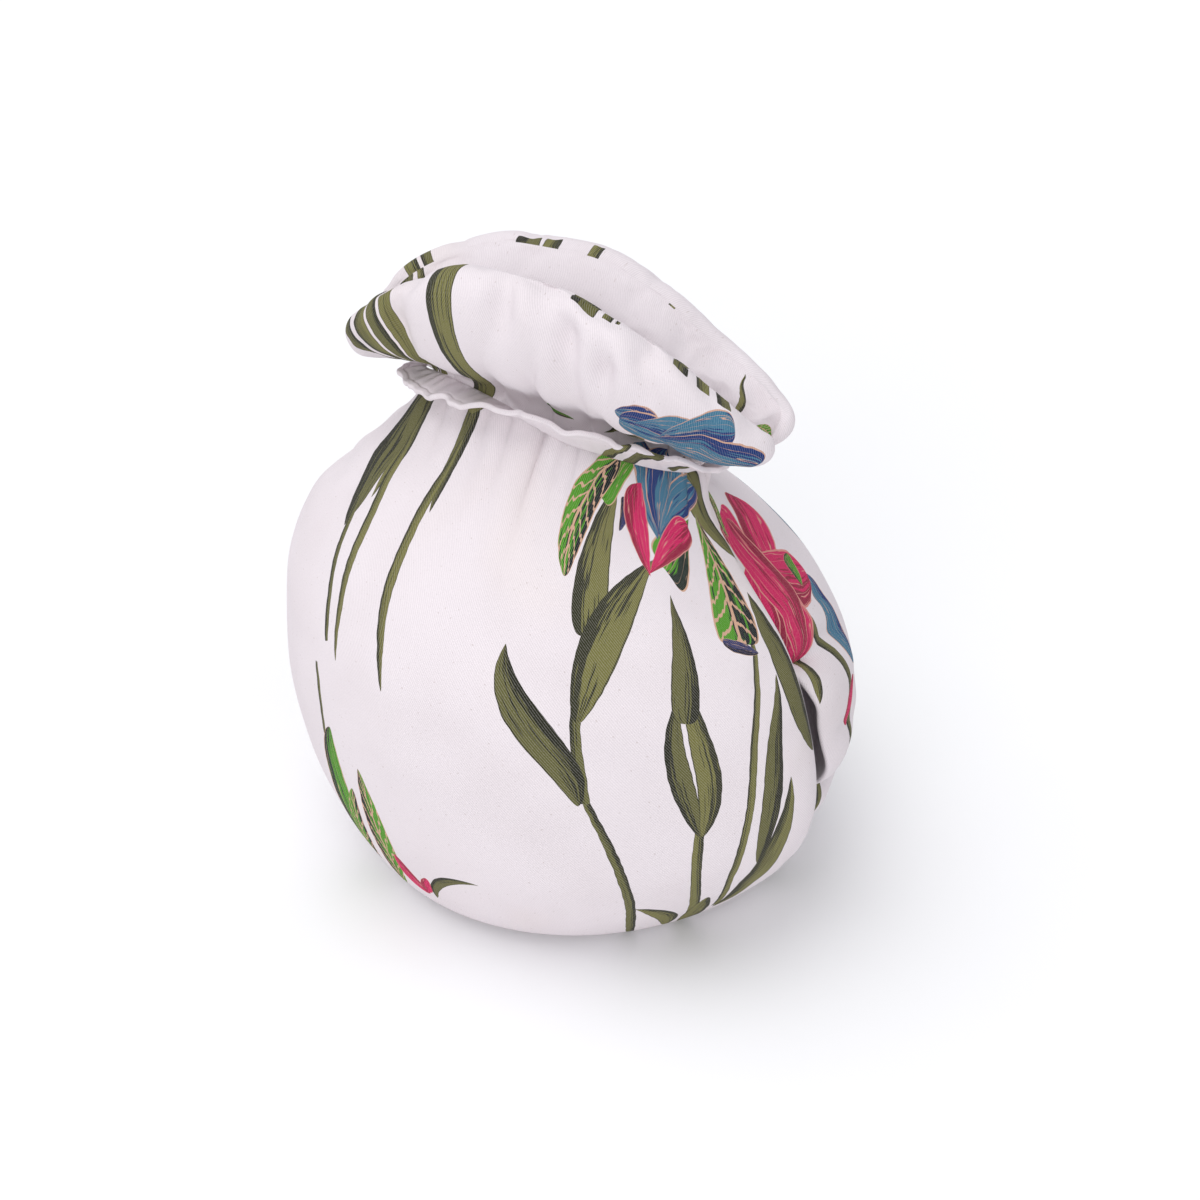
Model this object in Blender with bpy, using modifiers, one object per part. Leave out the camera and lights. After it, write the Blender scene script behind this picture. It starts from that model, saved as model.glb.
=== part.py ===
"""Padded tea cosy that stands on its hem.

Two filled panels, front and back, meet at the foot of a slit at each end and again at a
gathered neck. Above the neck each panel goes on as a puffed lip that leans outwards, and
a gathered frill lies round the neck under the lips.

Axes: X runs from the handle slit to the spout slit, the front panel faces -Y, and Z is up.
The origin is on the surface, under the middle of the cosy's own box.
"""

import math

import bpy
import numpy as np

MM = 0.001  # the tables and sizes below are in millimetres


def table(names, *rows):
    """A table as one array of values for each named column."""
    return dict(zip(names, np.array(rows, float).T))


# --- driving dimensions -------------------------------------------------------------
NECK_HEIGHT = 197.0
NECK_HALF_LENGTH = 54.0
NECK_DEPTH = 14.0  # from the middle of the neck to each panel
NECK_ARCH = 8.0  # how much higher the neck is at its middle than at its ends
NECK_TILT = 5.0  # how much its handle end stands higher, and its spout end lower
CENTRE = (4.1, 0.0)  # middle of the finished box, which is moved to the origin

COLLAR = 15.0  # how far the lips rise straight up before they lean outwards
LIP_PARTING = 1.6  # how far the tips of the lips part just above the neck
BODY_PADDING = 8.0  # thickness of a filled panel over the pot
NECK_PADDING = 4.6  # where the neck gathers press the filling flat
PRESSED_REACH = 16.0  # how far below the neck the gathers still press the filling
LIP_PADDING = 22.0
SWELL_START, SWELL_END = 0.09, 0.53  # shares of the lip between which its filling swells
CREST_ROUNDING = 0.84  # share of the lip where its filling starts to thin to the crest
RIM_PADDING = 2.4  # at the turned edges of the slits and the crest
SEAM_HALF_GAP = 0.15  # from the middle plane to the panel edges that meet there
EDGE_ROUNDING = 0.92  # share of a panel's half width where its padding starts to thin
TIP_ROUNDING = 0.5  # the same for the tips of the lips
LOW_LIP = 0.3  # share of the lip over which the one gives way to the other

# Shares of the way from neck to crest that steer the middle line of a lip.
LEAVE_UP = 0.30
ARRIVE_OUT, ARRIVE_UP = 0.20, 0.34
PARTING_REACH, PARTING_POWER = 0.05, 6
FOLD_SPAN = 1.1
# Powers that shape how a form sets in or fades.
ARCH_POWER = 4
ROOM_POWER = 4  # how sharply the room next to the middle plane takes over from the filling
LEAST_ROOM = 0.1
PUCKER_FADE, FOLD_FADE = 1.3, 0.7
SWELL_POWER, WAVE_POWER = 1.3, 1.3

# The body from hem to neck: how far it reaches along X on the spout and the handle side,
# the depth of each panel, how far the slit edges stand from the line between the panels,
# and how far that line swings to the front on the spout side.
BODY = table(
    (
        "height", "spout_length", "handle_length", "front_depth", "back_depth",
        "spout_gap", "handle_gap", "swing",
    ),
    (0, 87, 82, 71, 70, 0.1, 0.1, 0),
    (12, 95, 88, 78, 77, 0.1, 0.1, 2),
    (30, 103, 96, 85.5, 84, 2, 3, 8),
    (55, 112, 104, 91, 90, 4.5, 7, 15),
    (85, 117.5, 110, 92, 92, 5, 9, 19),
    (115, 112, 109, 88, 86, 5, 8, 20),
    (140, 99, 100, 77, 71, 4, 7, 18),
    (162, 79, 80, 56, 46, 3, 5, 12),
    (181, 63.5, 61, 32, 26, 1.5, 2.4, 5),
    (193, 59, 52.5, 17.5, 17, 0.6, 0.6, 0),
    (197, 57, 50.5, 14, 14, 0.5, 0.5, 0),
)
SWING_POWER = 6  # keeps the swing near the end of the body

# The level section of each panel: a power of 1 is an ellipse, more makes its ends leaner
# and less makes them fuller; `draw_in` shortens it on the spout side.
SECTION_COLUMNS = ("height", "power", "draw_in")
FRONT_SECTION = table(
    SECTION_COLUMNS,
    (0, 1.30, 3),
    (12, 1.24, 2.5),
    (30, 1.14, -0.5),
    (60, 1.06, -2.5),
    (95, 1.10, 0),
    (140, 1.12, 0),
    (197, 1.12, 0),
)
BACK_SECTION = table(
    SECTION_COLUMNS,
    (0, 1.20, 3),
    (12, 1.15, 2.5),
    (30, 0.98, 0),
    (60, 0.85, -1),
    (95, 0.86, 0),
    (120, 1.05, 1.5),
    (140, 1.20, 5),
    (162, 1.28, 8),
    (181, 1.20, 4.5),
    (193, 1.12, 0),
    (197, 1.12, 0),
)

# The hem is drawn in and turned under: rows from the floor up.
HEM = table(
    ("height", "inset", "padding"),
    (2.5, 7.6, 4.2),
    (2.8, 4.8, 6.8),
    (4.8, 1.9, 7.8),
    (9.5, 0.4, 8.0),
)
BODY_ROWS = (20, 38, 58, 79, 100, 119, 136, 151, 165, 176, 186, 192)

# The crest of each lip, from the handle tip to the spout tip. `across` is the share of
# the panel's width, from -1 to 1; `lean` is how far the crest stands from the middle plane.
CREST_COLUMNS = ("across", "x", "lean", "height")
FRONT_CREST = table(
    CREST_COLUMNS,
    (-1.00, -80, 5, 209),
    (-0.86, -76, 9, 222),
    (-0.70, -66, 13, 235),
    (-0.45, -43, 18, 252),
    (-0.20, -19, 21, 264),
    (0.05, 6, 23, 265),
    (0.30, 35, 23, 257),
    (0.55, 60, 21, 244),
    (0.80, 79, 14, 226),
    (0.92, 85, 9, 217),
    (1.00, 81, 6, 208),
)
BACK_CREST = table(
    CREST_COLUMNS,
    (-1.00, -82, 5, 206),
    (-0.86, -78, 8, 217),
    (-0.70, -70, 12, 230),
    (-0.45, -52, 21, 241),
    (-0.20, -27, 25, 249),
    (0.05, -1, 26, 249.5),
    (0.30, 25, 25, 242),
    (0.55, 50, 22, 229),
    (0.80, 75, 15, 218),
    (0.92, 83, 9.5, 212),
    (1.00, 82, 6, 205.5),
)
LIP_SHARES = (0.09, 0.18, 0.28, 0.40, 0.53, 0.66, 0.77, 0.86, 0.92, 0.96, 0.985, 1.0)

# Grooves that the neck gathers press into a panel: they fade down the shoulder within
# `reach_down` and up the lip within `reach_up`.
PUCKER_COLUMNS = ("across", "half_width", "depth", "reach_down", "reach_up")
FRONT_PUCKERS = table(
    PUCKER_COLUMNS,
    (-0.84, 0.060, 1.3, 16, 8),
    (-0.62, 0.055, 1.6, 30, 14),
    (-0.42, 0.055, 1.3, 22, 10),
    (-0.20, 0.060, 1.8, 38, 18),
    (0.03, 0.060, 1.9, 46, 14),
    (0.24, 0.055, 1.5, 28, 18),
    (0.45, 0.060, 1.6, 36, 12),
    (0.66, 0.060, 1.5, 24, 16),
    (0.86, 0.060, 1.2, 16, 8),
)
BACK_PUCKERS = table(
    PUCKER_COLUMNS,
    (-0.80, 0.060, 1.3, 18, 10),
    (-0.57, 0.055, 1.6, 34, 12),
    (-0.34, 0.060, 1.7, 28, 18),
    (-0.12, 0.055, 1.4, 42, 12),
    (0.10, 0.060, 1.8, 30, 16),
    (0.32, 0.055, 1.5, 44, 12),
    (0.55, 0.060, 1.7, 28, 18),
    (0.78, 0.060, 1.4, 20, 10),
)

# Soft diagonal folds on the lips, from the neck towards the crest.
FOLD_COLUMNS = ("at_neck", "at_crest", "half_width", "depth")
FRONT_FOLDS = table(
    FOLD_COLUMNS,
    (-0.44, -0.60, 0.080, 1.5),
    (0.00, 0.12, 0.085, 1.9),
    (0.34, 0.18, 0.075, 1.4),
    (0.66, 0.52, 0.080, 1.5),
)
BACK_FOLDS = table(
    FOLD_COLUMNS,
    (-0.40, -0.52, 0.080, 1.5),
    (0.02, -0.10, 0.090, 1.8),
    (0.44, 0.36, 0.080, 1.5),
)

# The frills round the neck: how far above or below the narrowest line of the neck each
# starts, how far it starts from the panel, how far it stands out, how steeply it lifts and
# how far its free edge waves. The front one stands up towards the spout end.
FRILL_THICKNESS = 2.2
FRILL_STEPS = 4
FRILL_END = 1.01  # the strips run on past the panels' edges until they nearly meet
FRILL_COLUMN_COUNT = 57
FRILL_TABLE_COLUMNS = ("across", "rise", "clearance", "width", "lift_degrees", "wave")
FRONT_FRILL = table(
    FRILL_TABLE_COLUMNS,
    (-1.00, 2.2, 1.3, 7.0, -10, 0.3),
    (-0.88, 2.2, 2.6, 9.5, -8, 0.8),
    (-0.65, 2.2, 1.0, 12.5, -5, 1.4),
    (-0.45, 2.0, 0.9, 13.5, 0, 1.7),
    (-0.25, 0.8, 1.0, 13.5, 18, 1.6),
    (-0.05, -1.0, 1.5, 13.0, 40, 1.4),
    (0.20, -3.0, 2.2, 13.0, 57, 1.3),
    (0.50, -3.0, 2.4, 13.0, 57, 1.3),
    (0.72, -2.2, 2.6, 12.0, 48, 1.1),
    (0.88, 0.0, 3.4, 10.5, 28, 0.8),
    (1.00, 1.4, 1.8, 8.5, 10, 0.3),
)
BACK_FRILL = table(
    FRILL_TABLE_COLUMNS,
    (-1.00, 2.2, 1.3, 7.0, -10, 0.3),
    (-0.88, 2.2, 2.6, 9.5, -8, 0.8),
    (-0.65, 2.2, 1.0, 12.5, -5, 1.4),
    (-0.40, 2.2, 0.9, 13.5, -3, 1.8),
    (0.00, 2.2, 0.9, 13.0, 4, 1.9),
    (0.45, 2.2, 0.9, 12.5, 10, 1.8),
    (0.68, 2.2, 1.0, 12.0, 6, 1.4),
    (0.88, 2.2, 2.6, 10.0, 0, 0.8),
    (1.00, 2.2, 1.3, 8.5, -4, 0.3),
)
# The waves of its free edge: how strong, half turns from the middle to an end, start.
WAVES = table(
    ("strength", "half_turns", "start"),
    (0.62, 8.5, 0.4),
    (0.38, 5.3, 2.1),
)

PANEL_COLUMN_COUNT = 37
EVEN_REACH = 0.89  # share of the half width that evenly spaced columns fill
EDGE_COLUMNS = (1.0, 0.986, 0.962, 0.93)  # extra columns where the padding rounds off
FLOOR_CUT_DEPTH, FLOOR_CUT_REACH = 20.0, 480.0

FABRIC_COLOUR = (0.86, 0.83, 0.80, 1.0)
FRILL_COLOUR = (0.84, 0.79, 0.72, 1.0)


# --- tables and curves --------------------------------------------------------------
def smooth(knots, values, at):
    """A smooth curve through a table's values, with no overshoot past flat stretches."""
    step = np.diff(knots)
    slope = np.diff(values) / step
    product = slope[:-1] * slope[1:]
    total = slope[:-1] + slope[1:]
    middle = np.where(product > 0, 2 * product / np.where(total == 0, 1, total), 0)
    tangent = np.concatenate(([slope[0]], middle, [slope[-1]]))
    place = np.clip(np.searchsorted(knots, at, side="right") - 1, 0, len(step) - 1)
    share = (at - knots[place]) / step[place]
    square, cube = share**2, share**3
    return (
        (2 * cube - 3 * square + 1) * values[place]
        + (cube - 2 * square + share) * step[place] * tangent[place]
        + (3 * square - 2 * cube) * values[place + 1]
        + (cube - square) * step[place] * tangent[place + 1]
    )


def look_up(values, name, at):
    """A table's column, read smoothly at some value of its first column."""
    knots = next(iter(values.values()))
    return float(smooth(knots, values[name], at))


def rounded_edge(distance, start):
    """Padding left, from 1 to 0, on the way from `start` to an edge at 1."""
    share = np.clip((distance - start) / (1 - start), 0, 1)
    return math.sqrt(1 - share**2)


def softer_least(first, second):
    """The lesser of two thicknesses, with no corner where one takes over."""
    total = first**-ROOM_POWER + max(second, LEAST_ROOM) ** -ROOM_POWER
    return total ** (-1 / ROOM_POWER)


# --- a padded panel -----------------------------------------------------------------
def section_angle(panel, across, height):
    """How far round the body a share of the panel's width lies, at this height."""
    depth = look_up(BODY, panel["depth"], height)
    gap = look_up(BODY, "spout_gap" if across > 0 else "handle_gap", height)
    edge = (gap + SEAM_HALF_GAP) / depth
    power = look_up(panel["section"], "power", height)
    return across * math.acos(edge ** (1 / power)), depth, power


def outward(across):
    """Level direction straight out of the neck, with Y counted away from the middle."""
    angle = across * math.pi / 2
    direction = np.array((
        math.sin(angle) / NECK_HALF_LENGTH,
        math.cos(angle) / NECK_DEPTH,
        0,
    ))
    return direction / np.linalg.norm(direction)


def pucker(panel, across, reach_name, distance):
    """Depth of the gather grooves at a distance from the neck."""
    rows = panel["puckers"]
    spread = rows["half_width"] * (1 + distance / rows[reach_name])
    groove = rows["depth"] * np.exp(-(((across - rows["across"]) / spread) ** 2))
    return float(np.sum(groove * np.exp(-((distance / rows[reach_name]) ** PUCKER_FADE))))


def fold(panel, across, share):
    """Depth of the diagonal folds at a share of the way from neck to crest."""
    rows = panel["folds"]
    centre = rows["at_neck"] + (rows["at_crest"] - rows["at_neck"]) * share
    groove = rows["depth"] * np.exp(-(((across - centre) / rows["half_width"]) ** 2))
    return float(np.sum(groove)) * math.sin(math.pi * min(1, share * FOLD_SPAN)) ** FOLD_FADE


def body_point(panel, across, height, inset=0.0):
    """Middle of the padding on the body, with Y counted away from the middle plane."""
    angle, depth, power = section_angle(panel, across, height)
    if across > 0:
        length = look_up(BODY, "spout_length", height)
        length -= look_up(panel["section"], "draw_in", height)
    else:
        length = look_up(BODY, "handle_length", height)
    lift = NECK_ARCH * math.cos(angle) - NECK_TILT * math.sin(angle)
    swing = look_up(BODY, "swing", height) * max(0, math.sin(angle)) ** SWING_POWER
    point = np.array((
        (length - inset) * math.sin(angle),
        (depth - inset) * math.cos(angle) ** power - panel["side"] * swing,
        height + lift * (height / NECK_HEIGHT) ** ARCH_POWER,
    ))
    if inset:
        point[1] = max(point[1], SEAM_HALF_GAP - panel["side"] * swing)
    return point


def gathered_point(panel, across, height):
    """The same, pressed in where the gathers of the neck run down the shoulder."""
    groove = pucker(panel, across, "reach_down", NECK_HEIGHT - height)
    return body_point(panel, across, height) - outward(across) * groove


def crest_point(panel, across):
    """The crest of the lip, with Y counted away from the middle plane."""
    return np.array([look_up(panel["crest"], name, across) for name in CREST_COLUMNS[1:]])


def lip_point(panel, across, share):
    """Middle of the filling of the lip, at a share of the way from neck to crest."""
    neck = body_point(panel, across, NECK_HEIGHT)
    crest = crest_point(panel, across)
    chord = np.linalg.norm(crest - neck)
    out, up = outward(across), np.array((0, 0, 1))
    leave = neck + max(COLLAR, LEAVE_UP * chord) * up
    arrive = crest + chord * (ARRIVE_OUT * out - ARRIVE_UP * up)
    rest = 1 - share
    point = (
        neck * rest**3
        + leave * 3 * rest**2 * share
        + arrive * 3 * rest * share**2
        + crest * share**3
    )
    groove = fold(panel, across, share)
    groove += pucker(panel, across, "reach_up", chord * share)
    point[1] += LIP_PARTING * across**PARTING_POWER * (1 - math.exp(-share / PARTING_REACH))
    return point - out * groove


def body_padding(across, height):
    """Thickness of a body panel: full over the pot, pressed flat by the gathers."""
    near_neck = math.exp(-(((NECK_HEIGHT - height) / PRESSED_REACH) ** 2))
    padding = BODY_PADDING + (NECK_PADDING - BODY_PADDING) * near_neck
    return padding * rounded_edge(abs(across), EDGE_ROUNDING)


def lip_padding(across, share):
    """Thickness of a lip: it swells above the neck and rounds off at crest and tips."""
    swell = np.clip((share - SWELL_START) / (SWELL_END - SWELL_START), 0, 1)
    swell = math.sin(math.pi / 2 * swell) ** SWELL_POWER
    padding = NECK_PADDING + (LIP_PADDING - NECK_PADDING) * swell
    low_down = 1 - min(1, share / LOW_LIP)
    start = TIP_ROUNDING + (EDGE_ROUNDING - TIP_ROUNDING) * low_down
    return padding * rounded_edge(abs(across), start) * rounded_edge(share, CREST_ROUNDING)


def panel_columns():
    """Shares of the panel's width, closer together at its edges."""
    inner = np.linspace(-EVEN_REACH, EVEN_REACH, PANEL_COLUMN_COUNT)
    edge = np.array(EDGE_COLUMNS)
    return np.concatenate((-edge, inner, edge[::-1]))


def panel_rows(panel, across):
    """Points and padding up one line of the panel, from the turned hem to the crest."""
    for height, inset, padding in zip(*HEM.values()):
        point = body_point(panel, across, height, inset)
        yield point, padding * rounded_edge(abs(across), EDGE_ROUNDING)
    for height in (*BODY_ROWS, NECK_HEIGHT):
        yield gathered_point(panel, across, height), body_padding(across, height)
    for share in LIP_SHARES:
        point = lip_point(panel, across, share)
        room = 2 * (point[1] - SEAM_HALF_GAP)
        yield point, softer_least(room, lip_padding(across, share))


# --- building objects ---------------------------------------------------------------
def placed(point, side):
    """A point in millimetres as the object's own coordinates in metres."""
    x, y, z = point
    return ((x - CENTRE[0]) * MM, (side * y - CENTRE[1]) * MM, z * MM)


def sheet_object(name, lines, side, collection, material):
    """An open sheet from lines of (point, padding), thickened to its own padding."""
    width, height = len(lines), len(lines[0])
    points = [placed(point, side) for line in lines for point, _ in line]
    faces = [
        (i * height + j, (i + 1) * height + j, (i + 1) * height + j + 1, i * height + j + 1)
        for i in range(width - 1)
        for j in range(height - 1)
    ]
    if side > 0:
        faces = [face[::-1] for face in faces]
    mesh = bpy.data.meshes.new(name)
    mesh.from_pydata(points, [], faces)
    mesh.shade_smooth()
    mesh.materials.append(material)
    piece = bpy.data.objects.new(name, mesh)
    collection.objects.link(piece)

    thickest = max(padding for line in lines for _, padding in line)
    group = piece.vertex_groups.new(name="padding")
    for index, (_, padding) in enumerate(pair for line in lines for pair in line):
        group.add([index], max(padding, RIM_PADDING) / thickest, "REPLACE")
    solidify = piece.modifiers.new("padding", "SOLIDIFY")
    solidify.thickness = thickest * MM
    solidify.offset = 0
    solidify.vertex_group = group.name
    return piece


def panel_object(name, panel, collection, cutter, material):
    """One padded panel, cut level where its hem rests."""
    lines = [list(panel_rows(panel, across)) for across in panel_columns()]
    piece = sheet_object(name, lines, panel["side"], collection, material)
    cut = piece.modifiers.new("level hem", "BOOLEAN")
    cut.operation = "DIFFERENCE"
    cut.solver = "EXACT"
    cut.object = cutter
    return piece


def frill_wave(across):
    """Height of the frill's free edge, from -1 to 1, as it gathers."""
    angle = math.pi * WAVES["half_turns"] * across + WAVES["start"]
    return float(np.sum(WAVES["strength"] * np.sin(angle)))


def frill_point(panel, across, share):
    """Middle of the frill at a share of its width out from the neck."""
    frill = panel["frill"]
    inside = min(1, max(-1, across))
    rise = look_up(frill, "rise", inside)
    neck = body_point(panel, across, NECK_HEIGHT + min(0, rise))
    width = look_up(frill, "width", inside)
    lift = math.radians(look_up(frill, "lift_degrees", inside))
    wave = look_up(frill, "wave", inside) * frill_wave(inside)
    start = NECK_PADDING / 2 + look_up(frill, "clearance", inside)
    point = neck + outward(inside) * (start + width * share * math.cos(lift))
    point[2] += max(0, rise) + width * share * math.sin(lift) + wave * share**WAVE_POWER
    return point


def frill_object(name, panel, collection, material):
    """The gathered strip that lies round one panel's half of the neck."""
    shares = np.linspace(0, 1, FRILL_STEPS)
    lines = [
        [(frill_point(panel, across, share), FRILL_THICKNESS) for share in shares]
        for across in np.linspace(-FRILL_END, FRILL_END, FRILL_COLUMN_COUNT)
    ]
    return sheet_object(name, lines, panel["side"], collection, material)


def cloth_material(name, colour, roughness):
    material = bpy.data.materials.new(name)
    material.use_nodes = True
    shader = material.node_tree.nodes["Principled BSDF"]
    shader.inputs["Base Color"].default_value = colour
    shader.inputs["Roughness"].default_value = roughness
    shader.inputs["Metallic"].default_value = 0
    return material


def floor_cutter(collection):
    """A block under the surface that levels the hems."""
    bpy.ops.mesh.primitive_cube_add(size=1)
    block = bpy.context.object
    block.name = "floor_cutter"
    block.scale = (FLOOR_CUT_REACH * MM, FLOOR_CUT_REACH * MM, FLOOR_CUT_DEPTH * MM)
    block.location = (0, 0, -FLOOR_CUT_DEPTH / 2 * MM)
    block.hide_render = True
    block.display_type = "WIRE"
    for owner in list(block.users_collection):
        owner.objects.unlink(block)
    collection.objects.link(block)
    return block


PANELS = {
    "front": {
        "side": -1,
        "depth": "front_depth",
        "section": FRONT_SECTION,
        "crest": FRONT_CREST,
        "puckers": FRONT_PUCKERS,
        "folds": FRONT_FOLDS,
        "frill": FRONT_FRILL,
    },
    "back": {
        "side": 1,
        "depth": "back_depth",
        "section": BACK_SECTION,
        "crest": BACK_CREST,
        "puckers": BACK_PUCKERS,
        "folds": BACK_FOLDS,
        "frill": BACK_FRILL,
    },
}


def main():
    for old in list(bpy.data.objects):
        bpy.data.objects.remove(old)
    parts = bpy.data.collections.new("tea_cosy")
    cutters = bpy.data.collections.new("cutters")
    for collection in (parts, cutters):
        bpy.context.scene.collection.children.link(collection)

    fabric = cloth_material("cream_cotton", FABRIC_COLOUR, 0.9)
    strip = cloth_material("frill_cotton", FRILL_COLOUR, 0.92)
    block = floor_cutter(cutters)
    for which, panel in PANELS.items():
        panel_object(f"{which}_panel", panel, parts, block, fabric)
        frill_object(f"{which}_neck_frill", panel, parts, strip)


main()
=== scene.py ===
"""The tea cosy's finish: padded printed cloth and gathered frills, on a pale studio floor.

Each panel is one padded form on the folds of its CAD solid, made from the same tables with
finer gathers, seams and creases, and filled out by a short cloth simulation. The print is
drawn by nodes in the flat cloth's own millimetres: `u` runs across a panel from its middle,
and `v` runs up from its neck seam.
"""

import math

import bpy
import numpy as np
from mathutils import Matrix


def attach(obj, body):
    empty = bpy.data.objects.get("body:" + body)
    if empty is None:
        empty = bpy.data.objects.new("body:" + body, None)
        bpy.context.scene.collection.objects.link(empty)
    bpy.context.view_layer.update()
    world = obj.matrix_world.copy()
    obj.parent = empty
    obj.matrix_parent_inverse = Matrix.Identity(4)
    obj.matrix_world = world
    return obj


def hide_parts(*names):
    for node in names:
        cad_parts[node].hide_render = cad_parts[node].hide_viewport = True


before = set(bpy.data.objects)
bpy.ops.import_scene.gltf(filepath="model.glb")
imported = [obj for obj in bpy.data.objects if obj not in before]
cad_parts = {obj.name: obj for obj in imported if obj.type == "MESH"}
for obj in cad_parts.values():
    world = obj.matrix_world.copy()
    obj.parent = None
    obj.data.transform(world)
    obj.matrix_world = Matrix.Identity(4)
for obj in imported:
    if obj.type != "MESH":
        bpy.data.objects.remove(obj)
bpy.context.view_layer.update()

MM = 0.001  # the tables and sizes below are in millimetres


def table(names, *rows):
    """A table as one array of values for each named column."""
    return dict(zip(names, np.array(rows, float).T))


# --- the cosy's own sizes, as in its CAD, with the slits closed further
NECK_HEIGHT = 197.0
NECK_HALF_LENGTH = 54.0
NECK_DEPTH = 14.0
NECK_ARCH = 8.0
NECK_TILT = 5.0
CENTRE_X = 4.1  # the shape's own middle, which is moved to the origin
COLLAR = 15.0
LIP_PARTING = 1.6
BODY_PADDING = 8.0
NECK_PADDING = 4.6
PRESSED_REACH = 16.0
LIP_PADDING = 22.0
SWELL_START, SWELL_END = 0.09, 0.53
CREST_ROUNDING = 0.84
RIM_PADDING = 2.4
SEAM_HALF_GAP = 0.15
EDGE_ROUNDING = 0.92
TIP_ROUNDING = 0.5
LOW_LIP = 0.3
# Shares of the way from neck to crest that steer the middle line of a lip.
LEAVE_UP = 0.30
ARRIVE_OUT, ARRIVE_UP = 0.20, 0.34
PARTING_REACH, PARTING_POWER = 0.05, 6
FOLD_SPAN = 1.1
# Powers that shape how a form sets in or fades.
ARCH_POWER, SWING_POWER = 4, 6
ROOM_POWER, LEAST_ROOM = 2.4, 0.1
PUCKER_FADE, FOLD_FADE = 1.3, 0.7
SWELL_POWER, WAVE_POWER = 1.3, 1.3
SECTION_COLUMNS = ("height", "power", "draw_in")
FRONT_SECTION = table(
    SECTION_COLUMNS,
    (0, 1.3, 3),
    (12, 1.24, 2.5),
    (30, 1.14, -0.5),
    (60, 1.06, -2.5),
    (95, 1.1, 0),
    (140, 1.12, 0),
    (197, 1.12, 0),
)
BACK_SECTION = table(
    SECTION_COLUMNS,
    (0, 1.2, 3),
    (12, 1.15, 2.5),
    (30, 0.98, 0),
    (60, 0.85, -1),
    (95, 0.86, 0),
    (120, 1.05, 1.5),
    (140, 1.2, 5),
    (162, 1.28, 8),
    (181, 1.2, 4.5),
    (193, 1.12, 0),
    (197, 1.12, 0),
)

BODY = table(
    (
        "height", "spout_length", "handle_length", "front_depth", "back_depth",
        "spout_gap", "handle_gap", "swing",
    ),
    (0, 87, 82, 71, 70, 0.1, 0.1, 0),
    (12, 95, 88, 78, 77, 0.1, 0.1, 2),
    (30, 103, 96, 85.5, 84, 0.6, 2, 8),
    (55, 112, 104, 91, 90, 2.6, 7, 15),
    (85, 117.5, 110, 92, 92, 5, 9, 19),
    (115, 112, 109, 88, 86, 4.2, 8, 20),
    (140, 99, 100, 77, 71, 1, 7, 18),
    (162, 79, 80, 56, 46, 0.4, 5, 12),
    (181, 63.5, 61, 32, 26, 0.3, 2.4, 5),
    (193, 59, 52.5, 17.5, 17, 0.3, 0.6, 0),
    (197, 57, 50.5, 14, 14, 0.5, 0.5, 0),
)
HEM = table(
    ("height", "inset", "padding"),
    (2.5, 7.6, 4.2),
    (2.8, 4.8, 6.8),
    (4.8, 1.9, 7.8),
    (9.5, 0.4, 8),
)
CREST_COLUMNS = ("across", "x", "lean", "height")
FRONT_CREST = table(
    CREST_COLUMNS,
    (-1, -80, 5, 209),
    (-0.86, -76, 9, 222),
    (-0.7, -66, 13, 235),
    (-0.45, -43, 18, 252),
    (-0.2, -19, 21, 264),
    (0.05, 6, 23, 265),
    (0.3, 35, 23, 257),
    (0.55, 60, 21, 244),
    (0.8, 79, 14, 226),
    (0.92, 85, 9, 217),
    (1, 81, 6, 208),
)
BACK_CREST = table(
    CREST_COLUMNS,
    (-1, -82, 5, 206),
    (-0.86, -78, 8, 217),
    (-0.7, -70, 12, 230),
    (-0.45, -52, 21, 241),
    (-0.2, -27, 25, 249),
    (0.05, -1, 26, 249.5),
    (0.3, 25, 25, 242),
    (0.55, 50, 22, 229),
    (0.8, 75, 15, 218),
    (0.92, 83, 9.5, 212),
    (1, 82, 6, 205.5),
)
PUCKER_COLUMNS = ("across", "half_width", "depth", "reach_down", "reach_up")
FRONT_PUCKERS = table(
    PUCKER_COLUMNS,
    (-0.84, 0.06, 1.3, 16, 8),
    (-0.62, 0.055, 1.6, 30, 14),
    (-0.42, 0.055, 1.3, 22, 10),
    (-0.2, 0.06, 1.8, 38, 18),
    (0.03, 0.06, 1.9, 46, 14),
    (0.24, 0.055, 1.5, 28, 18),
    (0.45, 0.06, 1.6, 36, 12),
    (0.66, 0.06, 1.5, 24, 16),
    (0.86, 0.06, 1.2, 16, 8),
)
BACK_PUCKERS = table(
    PUCKER_COLUMNS,
    (-0.8, 0.06, 1.3, 18, 10),
    (-0.57, 0.055, 1.6, 34, 12),
    (-0.34, 0.06, 1.7, 28, 18),
    (-0.12, 0.055, 1.4, 42, 12),
    (0.1, 0.06, 1.8, 30, 16),
    (0.32, 0.055, 1.5, 44, 12),
    (0.55, 0.06, 1.7, 28, 18),
    (0.78, 0.06, 1.4, 20, 10),
)
FOLD_COLUMNS = ("at_neck", "at_crest", "half_width", "depth")
FRONT_FOLDS = table(
    FOLD_COLUMNS,
    (-0.44, -0.6, 0.08, 1.5),
    (0, 0.12, 0.085, 1.9),
    (0.34, 0.18, 0.075, 1.4),
    (0.66, 0.52, 0.08, 1.5),
)
BACK_FOLDS = table(
    FOLD_COLUMNS,
    (-0.4, -0.52, 0.08, 1.5),
    (0.02, -0.1, 0.09, 1.8),
    (0.44, 0.36, 0.08, 1.5),
)
FRILL_THICKNESS = 2.2
FRILL_END = 1.01  # share of the neck's half that a frill reaches
FRILL_TABLE_COLUMNS = ("across", "rise", "clearance", "width", "lift_degrees", "wave")
FRILL_HANDLE_END = (
    (-1, 2.2, 1.3, 7, -10, 0.3),
    (-0.88, 2.2, 2.6, 9.5, -8, 0.8),
    (-0.65, 2.2, 1, 12.5, -5, 1.4),
)
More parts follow.
